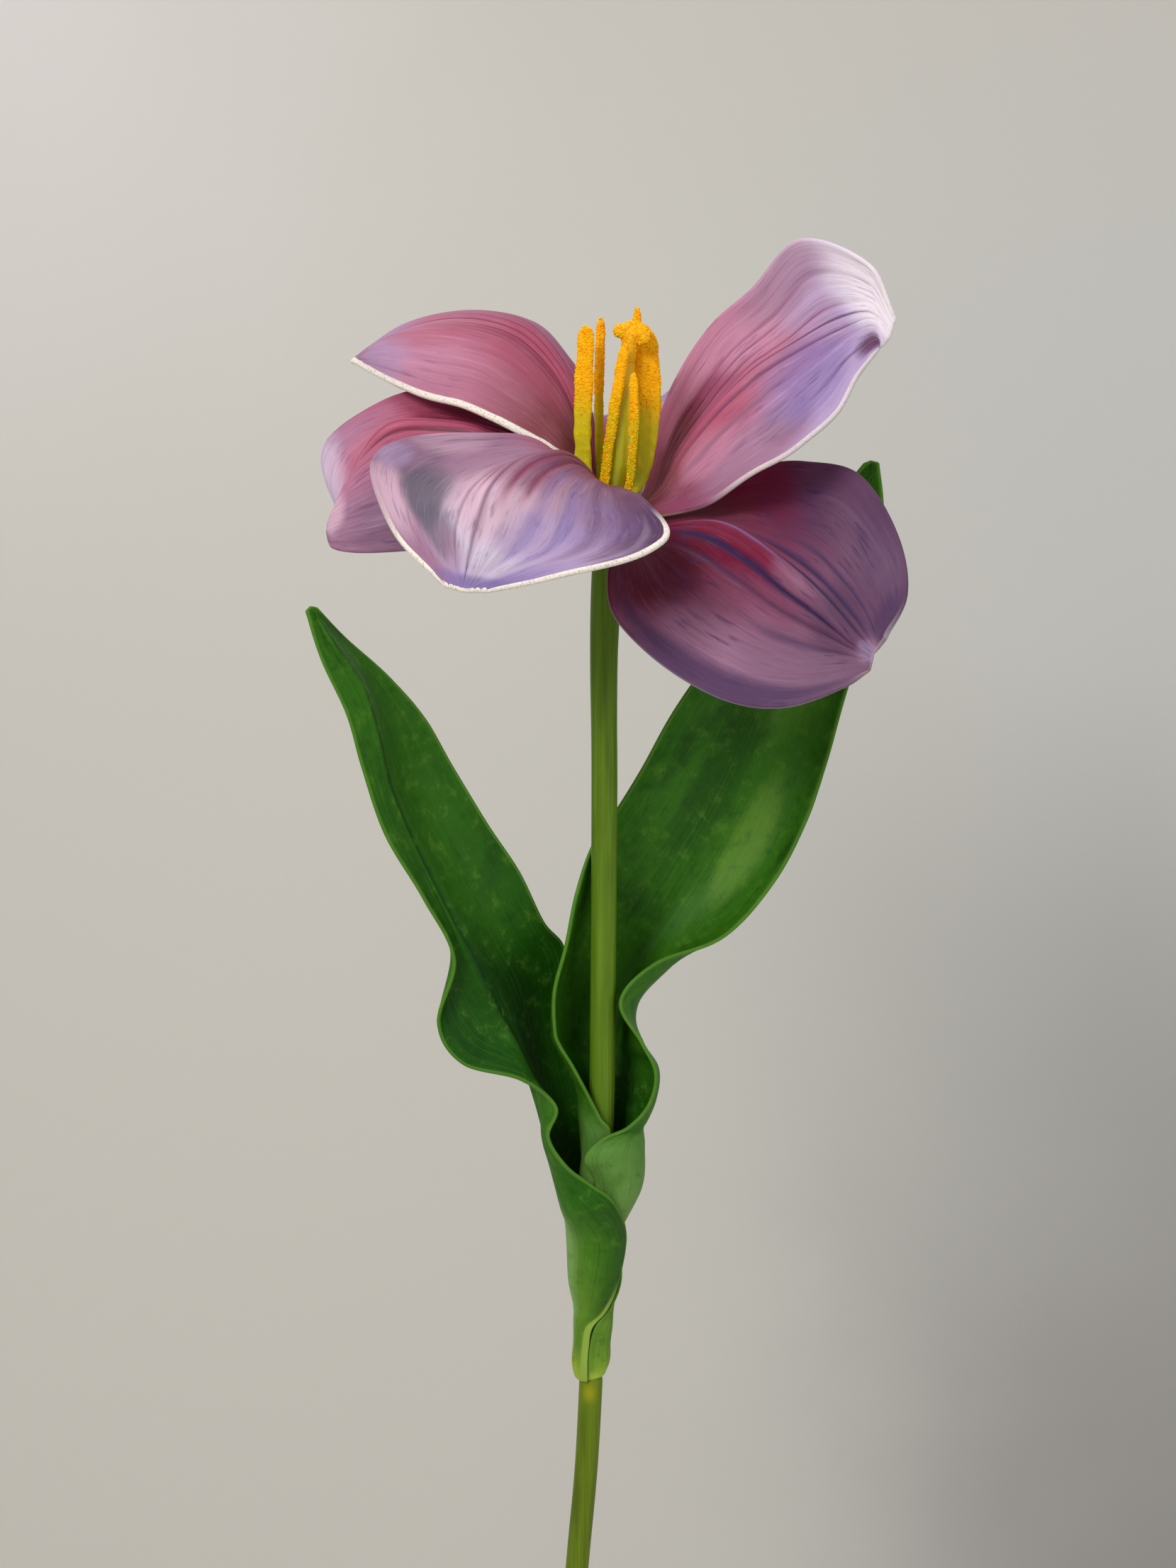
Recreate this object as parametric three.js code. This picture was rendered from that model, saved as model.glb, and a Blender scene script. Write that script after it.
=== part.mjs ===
// An open artificial tulip on a wire-cored stem: two wrapped leaves, six moulded petals on a
// receptacle, six flocked stamens and a pistil. Millimetres, +Z up, +X right, +Y away from the viewer.
// The origin is the centre of the stem's cut end.
import * as THREE from "three";

// Stem
const lowerStemLength = 211;
const lowerStemRadius = 2.55;
const lowerBoreRadius = 1.4;
const upperStemLength = 189;
const upperStemRadius = 2.75;
const upperBoreRadius = 1.5;
const neckRadius = 3.3;
const stemLean = 9.2;
const headLean = 4.3;
const wireRadius = 1.1;

// Bending joint between the lower stem and the collar
const ballRadius = 2.2;
const ballNeckDrop = 0.9;
const shoulderDrop = 1.4;
const ballMouthRadius = 1.75;
const wireJointGap = 0.8;

// Collar
const collarLength = 4.5;
const collarRadius = 2.85;

// Head
const receptacleRadius = 4;
const receptacleHeight = 10.2;
const neckSeatDrop = 9;
const pinRadius = 1.2;
const pinLength = 12;
const pinSeatDepth = 4.5;
const discRadius = 3.5;
const discThickness = 1.4;

// Petals
const petalLength = 75;
const petalThickness = 1.2;
const clawWidth = 4.2;
const outerWhorlDrop = 3;

// Leaves
const leafLength = 125;
const leafThickness = 0.9;
const sheathLength = 34;
const sheathFlare = 2.9;

// Flower centre
const stamenRingRadius = 2.75;
const stamenHeight = 38;
const filamentRadius = 0.6;
const pistilHeight = 38;
const ovaryRadius = 3.1;

// Clearances
const clearance = 0.3;
const sheathClearance = 0.5;

// Facets
const flatAngle = 0.001;
const tubeSides = 12;
const tubeStep = 16;
const stripSides = 8;
const petalRows = 18;
const petalColumns = 11;
const leafRows = 48;
const leafColumns = 13;
const arcPoints = 4;

const stemLength = lowerStemLength + upperStemLength;

// Route of the stem: [height, lean] as shares of each stem's length and lean.
const lowerRouteShares = [
  [0, 0], [0.24, 0.01], [0.47, 0.17], [0.66, 0.43], [0.81, 0.7], [0.9, 0.88], [1, 1],
];
const upperRouteShares = [
  [0.17, 0.3], [0.3, 0.51], [0.465, 0.6], [0.71, 0.65], [0.85, 0.63], [0.937, 0.77], [1, 1],
];

const material = (color, roughness, metalness = 0) =>
  new THREE.MeshStandardMaterial({ color, roughness, metalness });
const materials = {
  lowerStem: material(0x7d9440, 0.5),
  upperStem: material(0x5f7d2e, 0.5),
  collar: material(0x98a53c, 0.5),
  leaf: material(0x2f6a26, 0.55),
  petal: material(0xa873a0, 0.6),
  pollen: material(0xf0a800, 0.95),
  ovary: material(0x8f9a2c, 0.35),
  core: material(0x6f8a3a, 0.6),
  wire: material(0x9a9a98, 0.4, 1),
};

const tulip = new THREE.Group();

function addPiece(name, geometry, finish) {
  const mesh = new THREE.Mesh(geometry, finish);
  mesh.name = name;
  tulip.add(mesh);
}

// Curves

const stemRoute = [
  ...lowerRouteShares.map(([rise, lean]) => [rise * lowerStemLength, lean * stemLean]),
  ...upperRouteShares.map(([rise, lean]) => [
    lowerStemLength + rise * upperStemLength,
    stemLean + lean * headLean,
  ]),
];

// Slope of the stem's route at one of its points: level at both ends.
function routeSlope(index) {
  if (index === 0 || index === stemRoute.length - 1) return 0;
  const [heightBefore, leanBefore] = stemRoute[index - 1];
  const [heightAfter, leanAfter] = stemRoute[index + 1];
  return (leanAfter - leanBefore) / (heightAfter - heightBefore);
}

// Centre of the stem and its direction at a height. Past the ends the stem goes on straight.
function stemAt(height) {
  const last = stemRoute.length - 1;
  if (height <= 0 || height >= stemLength) {
    const [, lean] = stemRoute[height <= 0 ? 0 : last];
    return { centre: new THREE.Vector3(lean, 0, height), slope: 0 };
  }
  const index = stemRoute.findIndex(([rise]) => rise > height) - 1;
  const [startHeight, startLean] = stemRoute[index];
  const [endHeight, endLean] = stemRoute[index + 1];
  const run = endHeight - startHeight;
  const t = (height - startHeight) / run;
  const startPull = routeSlope(index) * run;
  const endPull = routeSlope(index + 1) * run;
  const bend = 2 * (startLean - endLean) + startPull + endPull;
  const turn = 3 * (endLean - startLean) - 2 * startPull - endPull;
  const lean = ((bend * t + turn) * t + startPull) * t + startLean;
  const slope = ((3 * bend * t + 2 * turn) * t + startPull) / run;
  return { centre: new THREE.Vector3(lean, 0, height), slope };
}

// Weights of a curve that passes through each of its points.
function curveWeights(count, t) {
  const place = Math.min(Math.max(t, 0), 1) * (count - 1);
  const index = Math.min(Math.floor(place), count - 2);
  const f = place - index;
  const f2 = f * f;
  const f3 = f2 * f;
  const four = [2 * f2 - f - f3, 2 - 5 * f2 + 3 * f3, f + 4 * f2 - 3 * f3, f3 - f2];
  const weights = new Array(count).fill(0);
  four.forEach((weight, k) => {
    const at = index + k - 1;
    if (at < 0) {
      weights[0] += weight;
      weights[1] -= weight / 2;
    } else if (at >= count) {
      weights[count - 1] += weight;
      weights[count - 2] -= weight / 2;
    } else {
      weights[at] += weight / 2;
    }
  });
  return weights;
}

function blend(points, weights) {
  const sum = new THREE.Vector3();
  points.forEach((point, k) => sum.addScaledVector(point, weights[k]));
  return sum;
}

const curvePoint = (points, t) => blend(points, curveWeights(points.length, t));

// Solids

function geometryOf(points, faces) {
  const geometry = new THREE.BufferGeometry();
  const places = points.flatMap((point) => [point.x, point.y, point.z]);
  geometry.setAttribute("position", new THREE.Float32BufferAttribute(places, 3));
  geometry.setIndex(faces.flat());
  geometry.computeVertexNormals();
  return geometry;
}

// A body turned round the stem's own curved axis. The profile is [radius, height] from the bottom,
// up the outside. It starts and ends on the axis, or closes on itself round a bore.
function turned(profile, sides = tubeSides) {
  const points = [];
  const rings = profile.map(([radius, height]) => {
    const { centre, slope } = stemAt(height);
    const side = new THREE.Vector3(1, 0, -slope).normalize();
    const start = points.length;
    if (radius === 0) {
      points.push(centre);
      return [start];
    }
    for (let k = 0; k < sides; k++) {
      const angle = (2 * Math.PI * k) / sides;
      const point = centre.clone().addScaledVector(side, radius * Math.cos(angle));
      point.y += radius * Math.sin(angle);
      points.push(point);
    }
    return Array.from({ length: sides }, (_, k) => start + k);
  });
  const faces = [];
  const join = (low, high) => {
    for (let k = 0; k < sides; k++) {
      const next = (k + 1) % sides;
      if (low.length > 1) faces.push([low[k], low[next], high[high.length > 1 ? next : 0]]);
      if (high.length > 1) faces.push([low[low.length > 1 ? k : 0], high[next], high[k]]);
    }
  };
  rings.slice(1).forEach((ring, k) => join(rings[k], ring));
  if (rings[0].length > 1) join(rings[rings.length - 1], rings[0]);
  return geometryOf(points, faces);
}

// Heights from one end to the other, close enough for the stem's curve.
function heightsBetween(from, to) {
  const steps = Math.max(1, Math.round(Math.abs(to - from) / tubeStep));
  return Array.from({ length: steps + 1 }, (_, k) => from + ((to - from) * k) / steps);
}

const straight = (radius, from, to) => heightsBetween(from, to).map((height) => [radius, height]);

// A body lofted through rings of as many points each, closed at both ends.
function lofted(rings) {
  const sides = rings[0].length;
  const points = rings.flat();
  const faces = [];
  for (let row = 1; row < rings.length; row++) {
    for (let k = 0; k < sides; k++) {
      const next = (k + 1) % sides;
      const low = (row - 1) * sides;
      const high = row * sides;
      faces.push([low + k, low + next, high + next], [low + k, high + next, high + k]);
    }
  }
  const top = (rings.length - 1) * sides;
  for (let k = 1; k < sides - 1; k++) {
    faces.push([0, k + 1, k], [top, top + k, top + k + 1]);
  }
  return geometryOf(points, faces);
}

// Points of an arc from one place to another that stands off its chord by the bulge.
function arcBetween(from, to, away, bulge) {
  const along = to.clone().sub(from);
  const chord = along.length();
  along.divideScalar(chord);
  const half = 2 * Math.atan2(2 * bulge, chord);
  const radius = chord / (2 * Math.sin(half));
  const flat = Math.abs(half) < flatAngle;
  return Array.from({ length: arcPoints }, (_, k) => {
    const u = (k + 1) / arcPoints;
    const swing = half * (2 * u - 1);
    const reach = flat ? chord * u : chord / 2 + radius * Math.sin(swing);
    const lift = flat ? 4 * u * (1 - u) * bulge : radius * (Math.cos(swing) - Math.cos(half));
    return from.clone().addScaledVector(along, reach).addScaledVector(away, lift);
  });
}

// A blade's stations, {left, rib, right, bulges}, become rows of points across the blade.
function bladeNet(stations) {
  return stations.map(({ left, rib, right, bulges }, k) => {
    const after = stations[Math.min(k + 1, stations.length - 1)].rib;
    const before = stations[Math.max(k - 1, 0)].rib;
    const ahead = after.clone().sub(before).normalize();
    const rightAway = ahead.clone().cross(right.clone().sub(rib)).normalize();
    const leftAway = left.clone().sub(rib).cross(ahead).normalize();
    return [
      ...arcBetween(rib, left, leftAway, bulges[0]).reverse(),
      rib,
      ...arcBetween(rib, right, rightAway, bulges[1]),
    ];
  });
}

// A thin closed blade: the smooth surface through the stations, given its thickness.
function blade(stations, thickness, rows, columns) {
  const net = bladeNet(stations);
  const acrossWeights = Array.from({ length: columns }, (_, k) =>
    curveWeights(net[0].length, k / (columns - 1)),
  );
  const spines = acrossWeights.map((weights) => net.map((row) => blend(row, weights)));
  const surface = Array.from({ length: rows }, (_, row) =>
    spines.map((spine) => curvePoint(spine, row / (rows - 1))),
  );
  const index = (row, column) => row * columns + column;
  const faceNormal = (row, column) => {
    const up = surface[Math.min(row + 1, rows - 1)][column]
      .clone()
      .sub(surface[Math.max(row - 1, 0)][column]);
    const across = surface[row][Math.min(column + 1, columns - 1)]
      .clone()
      .sub(surface[row][Math.max(column - 1, 0)]);
    return across.cross(up).normalize();
  };
  const points = [];
  for (const side of [1, -1]) {
    for (let row = 0; row < rows; row++) {
      for (let column = 0; column < columns; column++) {
        const shift = (side * thickness) / 2;
        points.push(surface[row][column].clone().addScaledVector(faceNormal(row, column), shift));
      }
    }
  }
  const under = rows * columns;
  const faces = [];
  for (let row = 0; row < rows - 1; row++) {
    for (let column = 0; column < columns - 1; column++) {
      const a = index(row, column);
      const b = index(row, column + 1);
      const c = index(row + 1, column);
      const d = index(row + 1, column + 1);
      faces.push([a, b, d], [a, d, c], [under + a, under + d, under + b], [under + a, under + c, under + d]);
    }
  }
  const rim = [];
  for (let column = 0; column < columns - 1; column++) rim.push(index(0, column));
  for (let row = 0; row < rows - 1; row++) rim.push(index(row, columns - 1));
  for (let column = columns - 1; column > 0; column--) rim.push(index(rows - 1, column));
  for (let row = rows - 1; row > 0; row--) rim.push(index(row, 0));
  rim.forEach((a, k) => {
    const b = rim[(k + 1) % rim.length];
    faces.push([a, under + b, b], [a, under + a, under + b]);
  });
  return geometryOf(points, faces);
}

// Stem pieces

// Steps of the ball's round face, and of its seat's, as shares of the angle up to the mouth.
const ballShares = [0, 0.35, 0.7, 1];
const seatShares = [1, 0.7, 0.35];

function lowerStem() {
  const mouthAngle = Math.acos(ballMouthRadius / ballRadius);
  return turned([
    ...straight(lowerStemRadius, 0, lowerStemLength - shoulderDrop),
    [ballRadius, lowerStemLength - ballNeckDrop],
    ...ballShares.map((share) => [
      ballRadius * Math.cos(share * mouthAngle),
      lowerStemLength + ballRadius * Math.sin(share * mouthAngle),
    ]),
    ...straight(lowerBoreRadius, lowerStemLength, 0),
  ]);
}

function stemCollar() {
  const seatRadius = ballRadius + clearance;
  const seatAngle = Math.acos(lowerBoreRadius / seatRadius);
  return turned([
    [seatRadius, lowerStemLength],
    [collarRadius, lowerStemLength],
    [collarRadius, lowerStemLength + collarLength],
    [lowerBoreRadius, lowerStemLength + collarLength],
    ...seatShares.map((share) => [
      seatRadius * Math.cos(share * seatAngle),
      lowerStemLength + seatRadius * Math.sin(share * seatAngle),
    ]),
  ]);
}

const neckTop = stemLength - neckSeatDrop;

// The upper stem keeps its radius and then widens to the neck: [height, widening] as shares.
const neckShares = [
  [0.8, 0], [0.89, 0.3], [0.95, 0.7], [1, 1],
];

function upperStem() {
  const bottom = lowerStemLength + collarLength + clearance;
  const length = neckTop - bottom;
  const outside = [
    ...straight(upperStemRadius, bottom, bottom + neckShares[0][0] * length),
    ...neckShares.slice(1).map(([rise, widening]) => [
      upperStemRadius + widening * (neckRadius - upperStemRadius),
      bottom + rise * length,
    ]),
  ];
  return turned([...outside, ...straight(upperBoreRadius, neckTop, bottom)]);
}

const rod = (radius, from, to) => turned([[0, from], ...straight(radius, from, to), [0, to]], stripSides);

const pinTop = neckTop + pinSeatDepth;
const pinBottom = pinTop - pinLength;

addPiece("lower_stem", lowerStem(), materials.lowerStem);
addPiece("core_wire", rod(wireRadius, 0, lowerStemLength - wireJointGap / 2), materials.wire);
addPiece("stem_collar", stemCollar(), materials.collar);
addPiece("upper_stem", upperStem(), materials.upperStem);
addPiece(
  "core_wire_upper",
  rod(wireRadius, lowerStemLength + wireJointGap / 2, pinBottom - clearance),
  materials.wire,
);
addPiece("head_pin", rod(pinRadius, pinBottom, pinTop), materials.core);

// Head: the receptacle sits on the neck and carries petals, stamens and pistil.

const headCentre = stemAt(stemLength).centre;
const receptacleBase = neckTop + clearance;
const receptacleCrown = receptacleBase + receptacleHeight;

// [radius, height] as shares of the receptacle's radius and height.
const receptacleShares = [
  [1, 0.42], [1, 0.86], [0.92, 1],
];

function receptacle() {
  return turned([
    [upperBoreRadius, receptacleBase],
    [neckRadius, receptacleBase],
    ...receptacleShares.map(([width, rise]) => [
      width * receptacleRadius,
      receptacleBase + rise * receptacleHeight,
    ]),
    [0, receptacleCrown],
    [0, receptacleBase + pinSeatDepth + clearance],
    [upperBoreRadius, receptacleBase + pinSeatDepth + clearance],
  ]);
}

const discBase = receptacleCrown + clearance;
const centreBase = discBase + discThickness + clearance;

addPiece("receptacle", receptacle(), materials.core);
addPiece("stamen_disc", rod(discRadius, discBase, discBase + discThickness), materials.ovary);

// Petals

// Each petal has its bearing round the stem in degrees, its whorl and its stations: left margin,
// rib and right margin from the petal's root, then the bulge of each half away from the inner face.
// All are shares of the petal's length.
const petals = {
  petal_upper_right: {
    bearing: 25,
    drop: 0,
    stationShares: [
      [[0.04, 0.12, 0.09], [0.08, 0.05, 0.075], [0.13, -0.03, 0.02], [0.015, 0.015]],
      [[0.065, 0.2, 0.225], [0.135, 0.09, 0.165], [0.22, -0.11, 0.055], [0.025, 0.025]],
      [[0.12, 0.28, 0.365], [0.225, 0.13, 0.28], [0.34, -0.15, 0.145], [0.04, 0.04]],
      [[0.22, 0.32, 0.52], [0.345, 0.16, 0.39], [0.455, -0.135, 0.205], [0.04, 0.04]],
      [[0.34, 0.305, 0.63], [0.465, 0.17, 0.465], [0.56, -0.055, 0.295], [0.04, 0.025]],
      [[0.475, 0.265, 0.77], [0.575, 0.185, 0.52], [0.625, 0.04, 0.395], [0.025, 0.015]],
      [[0.665, 0.205, 0.7], [0.67, 0.185, 0.55], [0.68, 0.12, 0.45], [0.015, 0.005]],
      [[0.74, 0.17, 0.55], [0.72, 0.16, 0.495], [0.69, 0.145, 0.465], [0, 0]],
    ],
  },
  petal_upper_left: {
    bearing: 150,
    drop: 0,
    stationShares: [
      [[-0.06, -0.035, 0.135], [-0.015, 0.045, 0.135], [0.01, 0.125, 0.15], [-0.015, -0.015]],
      [[-0.135, -0.075, 0.2], [-0.055, 0.1, 0.29], [-0.01, 0.22, 0.315], [-0.025, -0.015]],
      [[-0.23, -0.085, 0.25], [-0.12, 0.165, 0.405], [-0.065, 0.34, 0.42], [-0.04, -0.025]],
      [[-0.345, -0.045, 0.3], [-0.225, 0.235, 0.495], [-0.155, 0.46, 0.495], [-0.055, -0.04]],
      [[-0.47, 0.035, 0.33], [-0.375, 0.285, 0.53], [-0.3, 0.525, 0.515], [-0.055, -0.04]],
      [[-0.595, 0.155, 0.38], [-0.535, 0.315, 0.505], [-0.485, 0.475, 0.51], [-0.04, -0.025]],
      [[-0.69, 0.3, 0.425], [-0.675, 0.325, 0.435], [-0.665, 0.365, 0.44], [0, 0]],
    ],
  },
  petal_front: {
    bearing: 262,
    drop: 0,
    stationShares: [
      [[0.015, -0.095, 0.09], [-0.04, -0.095, 0.12], [-0.09, -0.03, 0.13], [0.015, 0.015]],
      [[0.065, -0.255, 0.095], [-0.12, -0.23, 0.2], [-0.22, -0.07, 0.23], [0.025, 0.025]],
      [[0.11, -0.415, 0.07], [-0.225, -0.375, 0.19], [-0.395, -0.19, 0.25], [0.04, 0.04]],
      [[0.155, -0.52, 0.015], [-0.3, -0.51, 0.125], [-0.56, -0.32, 0.235], [0.04, 0.04]],
      [[0.1, -0.6, -0.03], [-0.335, -0.6, 0.03], [-0.62, -0.44, 0.175], [0.04, 0.025]],
      [[-0.11, -0.67, -0.08], [-0.355, -0.655, -0.05], [-0.555, -0.56, 0.02], [0.015, 0.015]],
      [[-0.305, -0.68, -0.12], [-0.37, -0.68, -0.12], [-0.42, -0.655, -0.11], [0, 0]],
    ],
  },
  petal_back: {
    bearing: 88,
    drop: outerWhorlDrop,
    stationShares: [
      [[-0.055, 0.11, 0.11], [0.01, 0.12, 0.08], [0.085, 0.11, 0.11], [0.015, 0.015]],
      [[-0.13, 0.23, 0.245], [0.01, 0.27, 0.175], [0.125, 0.23, 0.235], [0.04, 0.04]],
      [[-0.2, 0.39, 0.33], [0.01, 0.43, 0.255], [0.17, 0.375, 0.34], [0.055, 0.055]],
      [[-0.245, 0.56, 0.375], [0.015, 0.59, 0.29], [0.2, 0.535, 0.38], [0.055, 0.055]],
      [[-0.205, 0.72, 0.375], [0.015, 0.75, 0.29], [0.18, 0.71, 0.365], [0.04, 0.04]],
      [[-0.1, 0.855, 0.32], [0.015, 0.87, 0.275], [0.12, 0.855, 0.31], [0.015, 0.015]],
      [[-0.015, 0.91, 0.25], [0.01, 0.91, 0.245], [0.04, 0.91, 0.25], [0, 0]],
    ],
  },
  petal_far_left: {
    bearing: 205,
    drop: outerWhorlDrop,
    stationShares: [
      [[-0.065, -0.025, 0.05], [-0.06, 0.015, 0.085], [-0.06, 0.05, 0.075], [0, 0]],
      [[-0.16, -0.08, 0.045], [-0.17, 0.01, 0.195], [-0.125, 0.12, 0.235], [-0.025, -0.015]],
      [[-0.275, -0.16, 0.01], [-0.3, -0.005, 0.285], [-0.255, 0.18, 0.32], [-0.055, 0.015]],
      [[-0.395, -0.225, -0.015], [-0.43, -0.025, 0.31], [-0.405, 0.225, 0.38], [-0.065, 0.035]],
      [[-0.52, -0.265, -0.025], [-0.545, -0.065, 0.305], [-0.55, 0.205, 0.37], [-0.055, 0.035]],
      [[-0.635, -0.24, -0.03], [-0.625, -0.105, 0.22], [-0.695, 0.08, 0.29], [-0.04, 0]],
      [[-0.7, -0.2, -0.015], [-0.66, -0.13, 0.115], [-0.735, 0, 0.205], [-0.025, -0.015]],
      [[-0.68, -0.16, 0.03], [-0.67, -0.145, 0.045], [-0.68, -0.12, 0.06], [0, 0]],
    ],
  },
  petal_lower_right: {
    bearing: 322,
    drop: outerWhorlDrop,
    stationShares: [
      [[0.12, 0.115, 0.05], [0.07, -0.055, 0.02], [-0.035, -0.105, -0.03], [0.015, 0.015]],
      [[0.245, 0.165, 0.115], [0.15, -0.105, 0.04], [-0.065, -0.2, -0.095], [0.04, 0.04]],
      [[0.375, 0.195, 0.18], [0.24, -0.16, 0.04], [-0.045, -0.28, -0.2], [0.065, 0.065]],
      [[0.5, 0.175, 0.19], [0.33, -0.225, -0.005], [0.07, -0.36, -0.305], [0.08, 0.08]],
      [[0.64, 0.135, 0.16], [0.42, -0.295, -0.08], [0.23, -0.415, -0.395], [0.08, 0.065]],
      [[0.74, 0.04, 0.005], [0.5, -0.36, -0.15], [0.405, -0.44, -0.415], [0.055, 0.04]],
      [[0.755, -0.12, -0.145], [0.57, -0.4, -0.225], [0.555, -0.425, -0.365], [0.025, 0.015]],
      [[0.675, -0.335, -0.245], [0.635, -0.4, -0.28], [0.625, -0.4, -0.325], [0, 0]],
    ],
  },
};

function placed(shares, from, length) {
  return new THREE.Vector3(...shares).multiplyScalar(length).add(from);
}

function tableStations(stationShares, from, length) {
  return stationShares.map(([left, rib, right, bulgeShares]) => ({
    left: placed(left, from, length),
    rib: placed(rib, from, length),
    right: placed(right, from, length),
    bulges: bulgeShares.map((share) => share * length),
  }));
}

function petal({ bearing, drop, stationShares }) {
  const angle = THREE.MathUtils.degToRad(bearing);
  const outward = new THREE.Vector3(Math.cos(angle), Math.sin(angle), 0);
  const across = new THREE.Vector3(Math.sin(angle), -Math.cos(angle), 0);
  const rootRadius = receptacleRadius + clearance + petalThickness / 2;
  const root = headCentre.clone().addScaledVector(outward, rootRadius);
  root.z -= drop;
  const claw = {
    left: root.clone().addScaledVector(across, -clawWidth / 2),
    rib: root,
    right: root.clone().addScaledVector(across, clawWidth / 2),
    bulges: [0, 0],
  };
  const stations = [claw, ...tableStations(stationShares, root, petalLength)];
  return blade(stations, petalThickness, petalRows, petalColumns);
}

for (const [name, shape] of Object.entries(petals)) {
  addPiece(name, petal(shape), materials.petal);
}

// Leaves: the foot of each is a sheath round the stem, the blade follows from a table.

// Sheath stations: height, radius and shift from the stem as shares of the sheath's length and
// flare, then the bearings of left margin, rib and right margin in degrees.
const leaves = {
  leaf_left: {
    sheathShares: [
      [0.05, 0.05, 0, 0, [243, 180, -103]],
      [0.24, 0.06, 0, 0, [244, 180, -104]],
      [0.4, 0.05, 0, 0, [262, 180, -86]],
      [0.52, 0.15, 0, 0, [312, 180, -34]],
      [0.7, 0.62, 0, 0, [334, 180, 0]],
      [1, 0.92, 0, 0, [345, 180, 48]],
    ],
    stationShares: [
      [[0.042, -0.068, 0.347], [-0.047, 0, 0.32], [0.049, 0.063, 0.324], [0.042, 0.04]],
      [[0.003, -0.076, 0.381], [-0.057, 0, 0.364], [0.033, 0.07, 0.376], [0.029, 0.04]],
      [[-0.041, -0.078, 0.416], [-0.066, -0.006, 0.408], [0.017, 0.075, 0.424], [0.016, 0.037]],
      [[-0.072, -0.072, 0.466], [-0.078, -0.016, 0.456], [0.002, 0.08, 0.476], [0.008, 0.032]],
      [[-0.059, -0.072, 0.518], [-0.099, -0.028, 0.539], [-0.023, 0.088, 0.589], [0.004, 0.032]],
      [[-0.119, -0.08, 0.568], [-0.126, -0.028, 0.621], [-0.042, 0.088, 0.679], [0, 0.024]],
      [[-0.218, -0.08, 0.596], [-0.161, -0.04, 0.696], [-0.045, 0.072, 0.763], [0.008, 0.024]],
      [[-0.258, -0.088, 0.668], [-0.193, -0.072, 0.775], [-0.08, 0.04, 0.816], [0.016, 0.024]],
      [[-0.228, -0.104, 0.782], [-0.232, -0.096, 0.853], [-0.12, 0.016, 0.909], [0.008, 0.024]],
      [[-0.275, -0.128, 0.891], [-0.287, -0.104, 0.97], [-0.173, 0, 0.994], [0.004, 0.024]],
      [[-0.337, -0.144, 1.002], [-0.329, -0.12, 1.08], [-0.232, -0.016, 1.098], [0, 0.024]],
      [[-0.374, -0.152, 1.116], [-0.347, -0.136, 1.166], [-0.277, -0.04, 1.184], [0, 0.016]],
      [[-0.397, -0.16, 1.205], [-0.372, -0.152, 1.256], [-0.336, -0.072, 1.259], [0, 0.012]],
      [[-0.435, -0.176, 1.296], [-0.418, -0.168, 1.328], [-0.403, -0.112, 1.327], [0, 0.004]],
      [[-0.461, -0.176, 1.378], [-0.453, -0.168, 1.384], [-0.443, -0.16, 1.38], [0, 0]],
    ],
  },
  leaf_right: {
    sheathShares: [
      [0.7, 0, 0, 0, [222, 60, -106]],
      [1, 0.1, 0.15, 0.05, [216, 64, -112]],
    ],
    stationShares: [
      [[0.003, -0.03, 0.36], [0.062, 0.04, 0.352], [0.006, -0.043, 0.372], [0.054, 0.053]],
      [[0.034, -0.036, 0.455], [0.046, 0.054, 0.408], [-0.012, -0.056, 0.42], [0.056, 0.077]],
      [[0.017, -0.042, 0.49], [0.042, 0.065, 0.46], [0.017, -0.058, 0.456], [0.049, 0.059]],
      [[-0.007, -0.046, 0.537], [0.046, 0.07, 0.496], [0.062, -0.053, 0.476], [0.04, 0.043]],
      [[-0.031, -0.048, 0.583], [0.051, 0.077, 0.528], [0.099, -0.044, 0.515], [0.04, 0.032]],
      [[-0.053, -0.048, 0.62], [0.049, 0.086, 0.56], [0.11, -0.042, 0.57], [0.042, 0.027]],
      [[-0.061, -0.048, 0.645], [0.043, 0.096, 0.587], [0.086, -0.04, 0.624], [0.044, 0.016]],
      [[-0.062, -0.044, 0.712], [0.055, 0.112, 0.666], [0.05, -0.028, 0.693], [0.044, 0.028]],
      [[-0.043, -0.036, 0.791], [0.089, 0.128, 0.739], [0.111, 0, 0.753], [0.044, 0.036]],
      [[-0.026, -0.02, 0.877], [0.138, 0.136, 0.82], [0.228, 0.04, 0.791], [0.04, 0.024]],
      [[0.003, 0.02, 0.955], [0.188, 0.144, 0.901], [0.318, 0.08, 0.879], [0.032, 0.024]],
      [[0.044, 0.064, 1.008], [0.234, 0.152, 0.988], [0.374, 0.104, 0.978], [0.024, 0.024]],
      [[0.087, 0.096, 1.073], [0.274, 0.16, 1.075], [0.407, 0.12, 1.075], [0.024, 0.024]],
      [[0.142, 0.12, 1.168], [0.317, 0.168, 1.18], [0.434, 0.136, 1.172], [0.02, 0.02]],
      [[0.216, 0.144, 1.27], [0.366, 0.184, 1.29], [0.465, 0.152, 1.275], [0.016, 0.016]],
      [[0.314, 0.16, 1.392], [0.417, 0.192, 1.401], [0.492, 0.168, 1.391], [0.012, 0.012]],
      [[0.405, 0.176, 1.513], [0.459, 0.192, 1.518], [0.505, 0.176, 1.507], [0.004, 0.004]],
      [[0.471, 0.184, 1.591], [0.484, 0.192, 1.596], [0.497, 0.184, 1.593], [0, 0]],
    ],
  },
};

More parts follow.
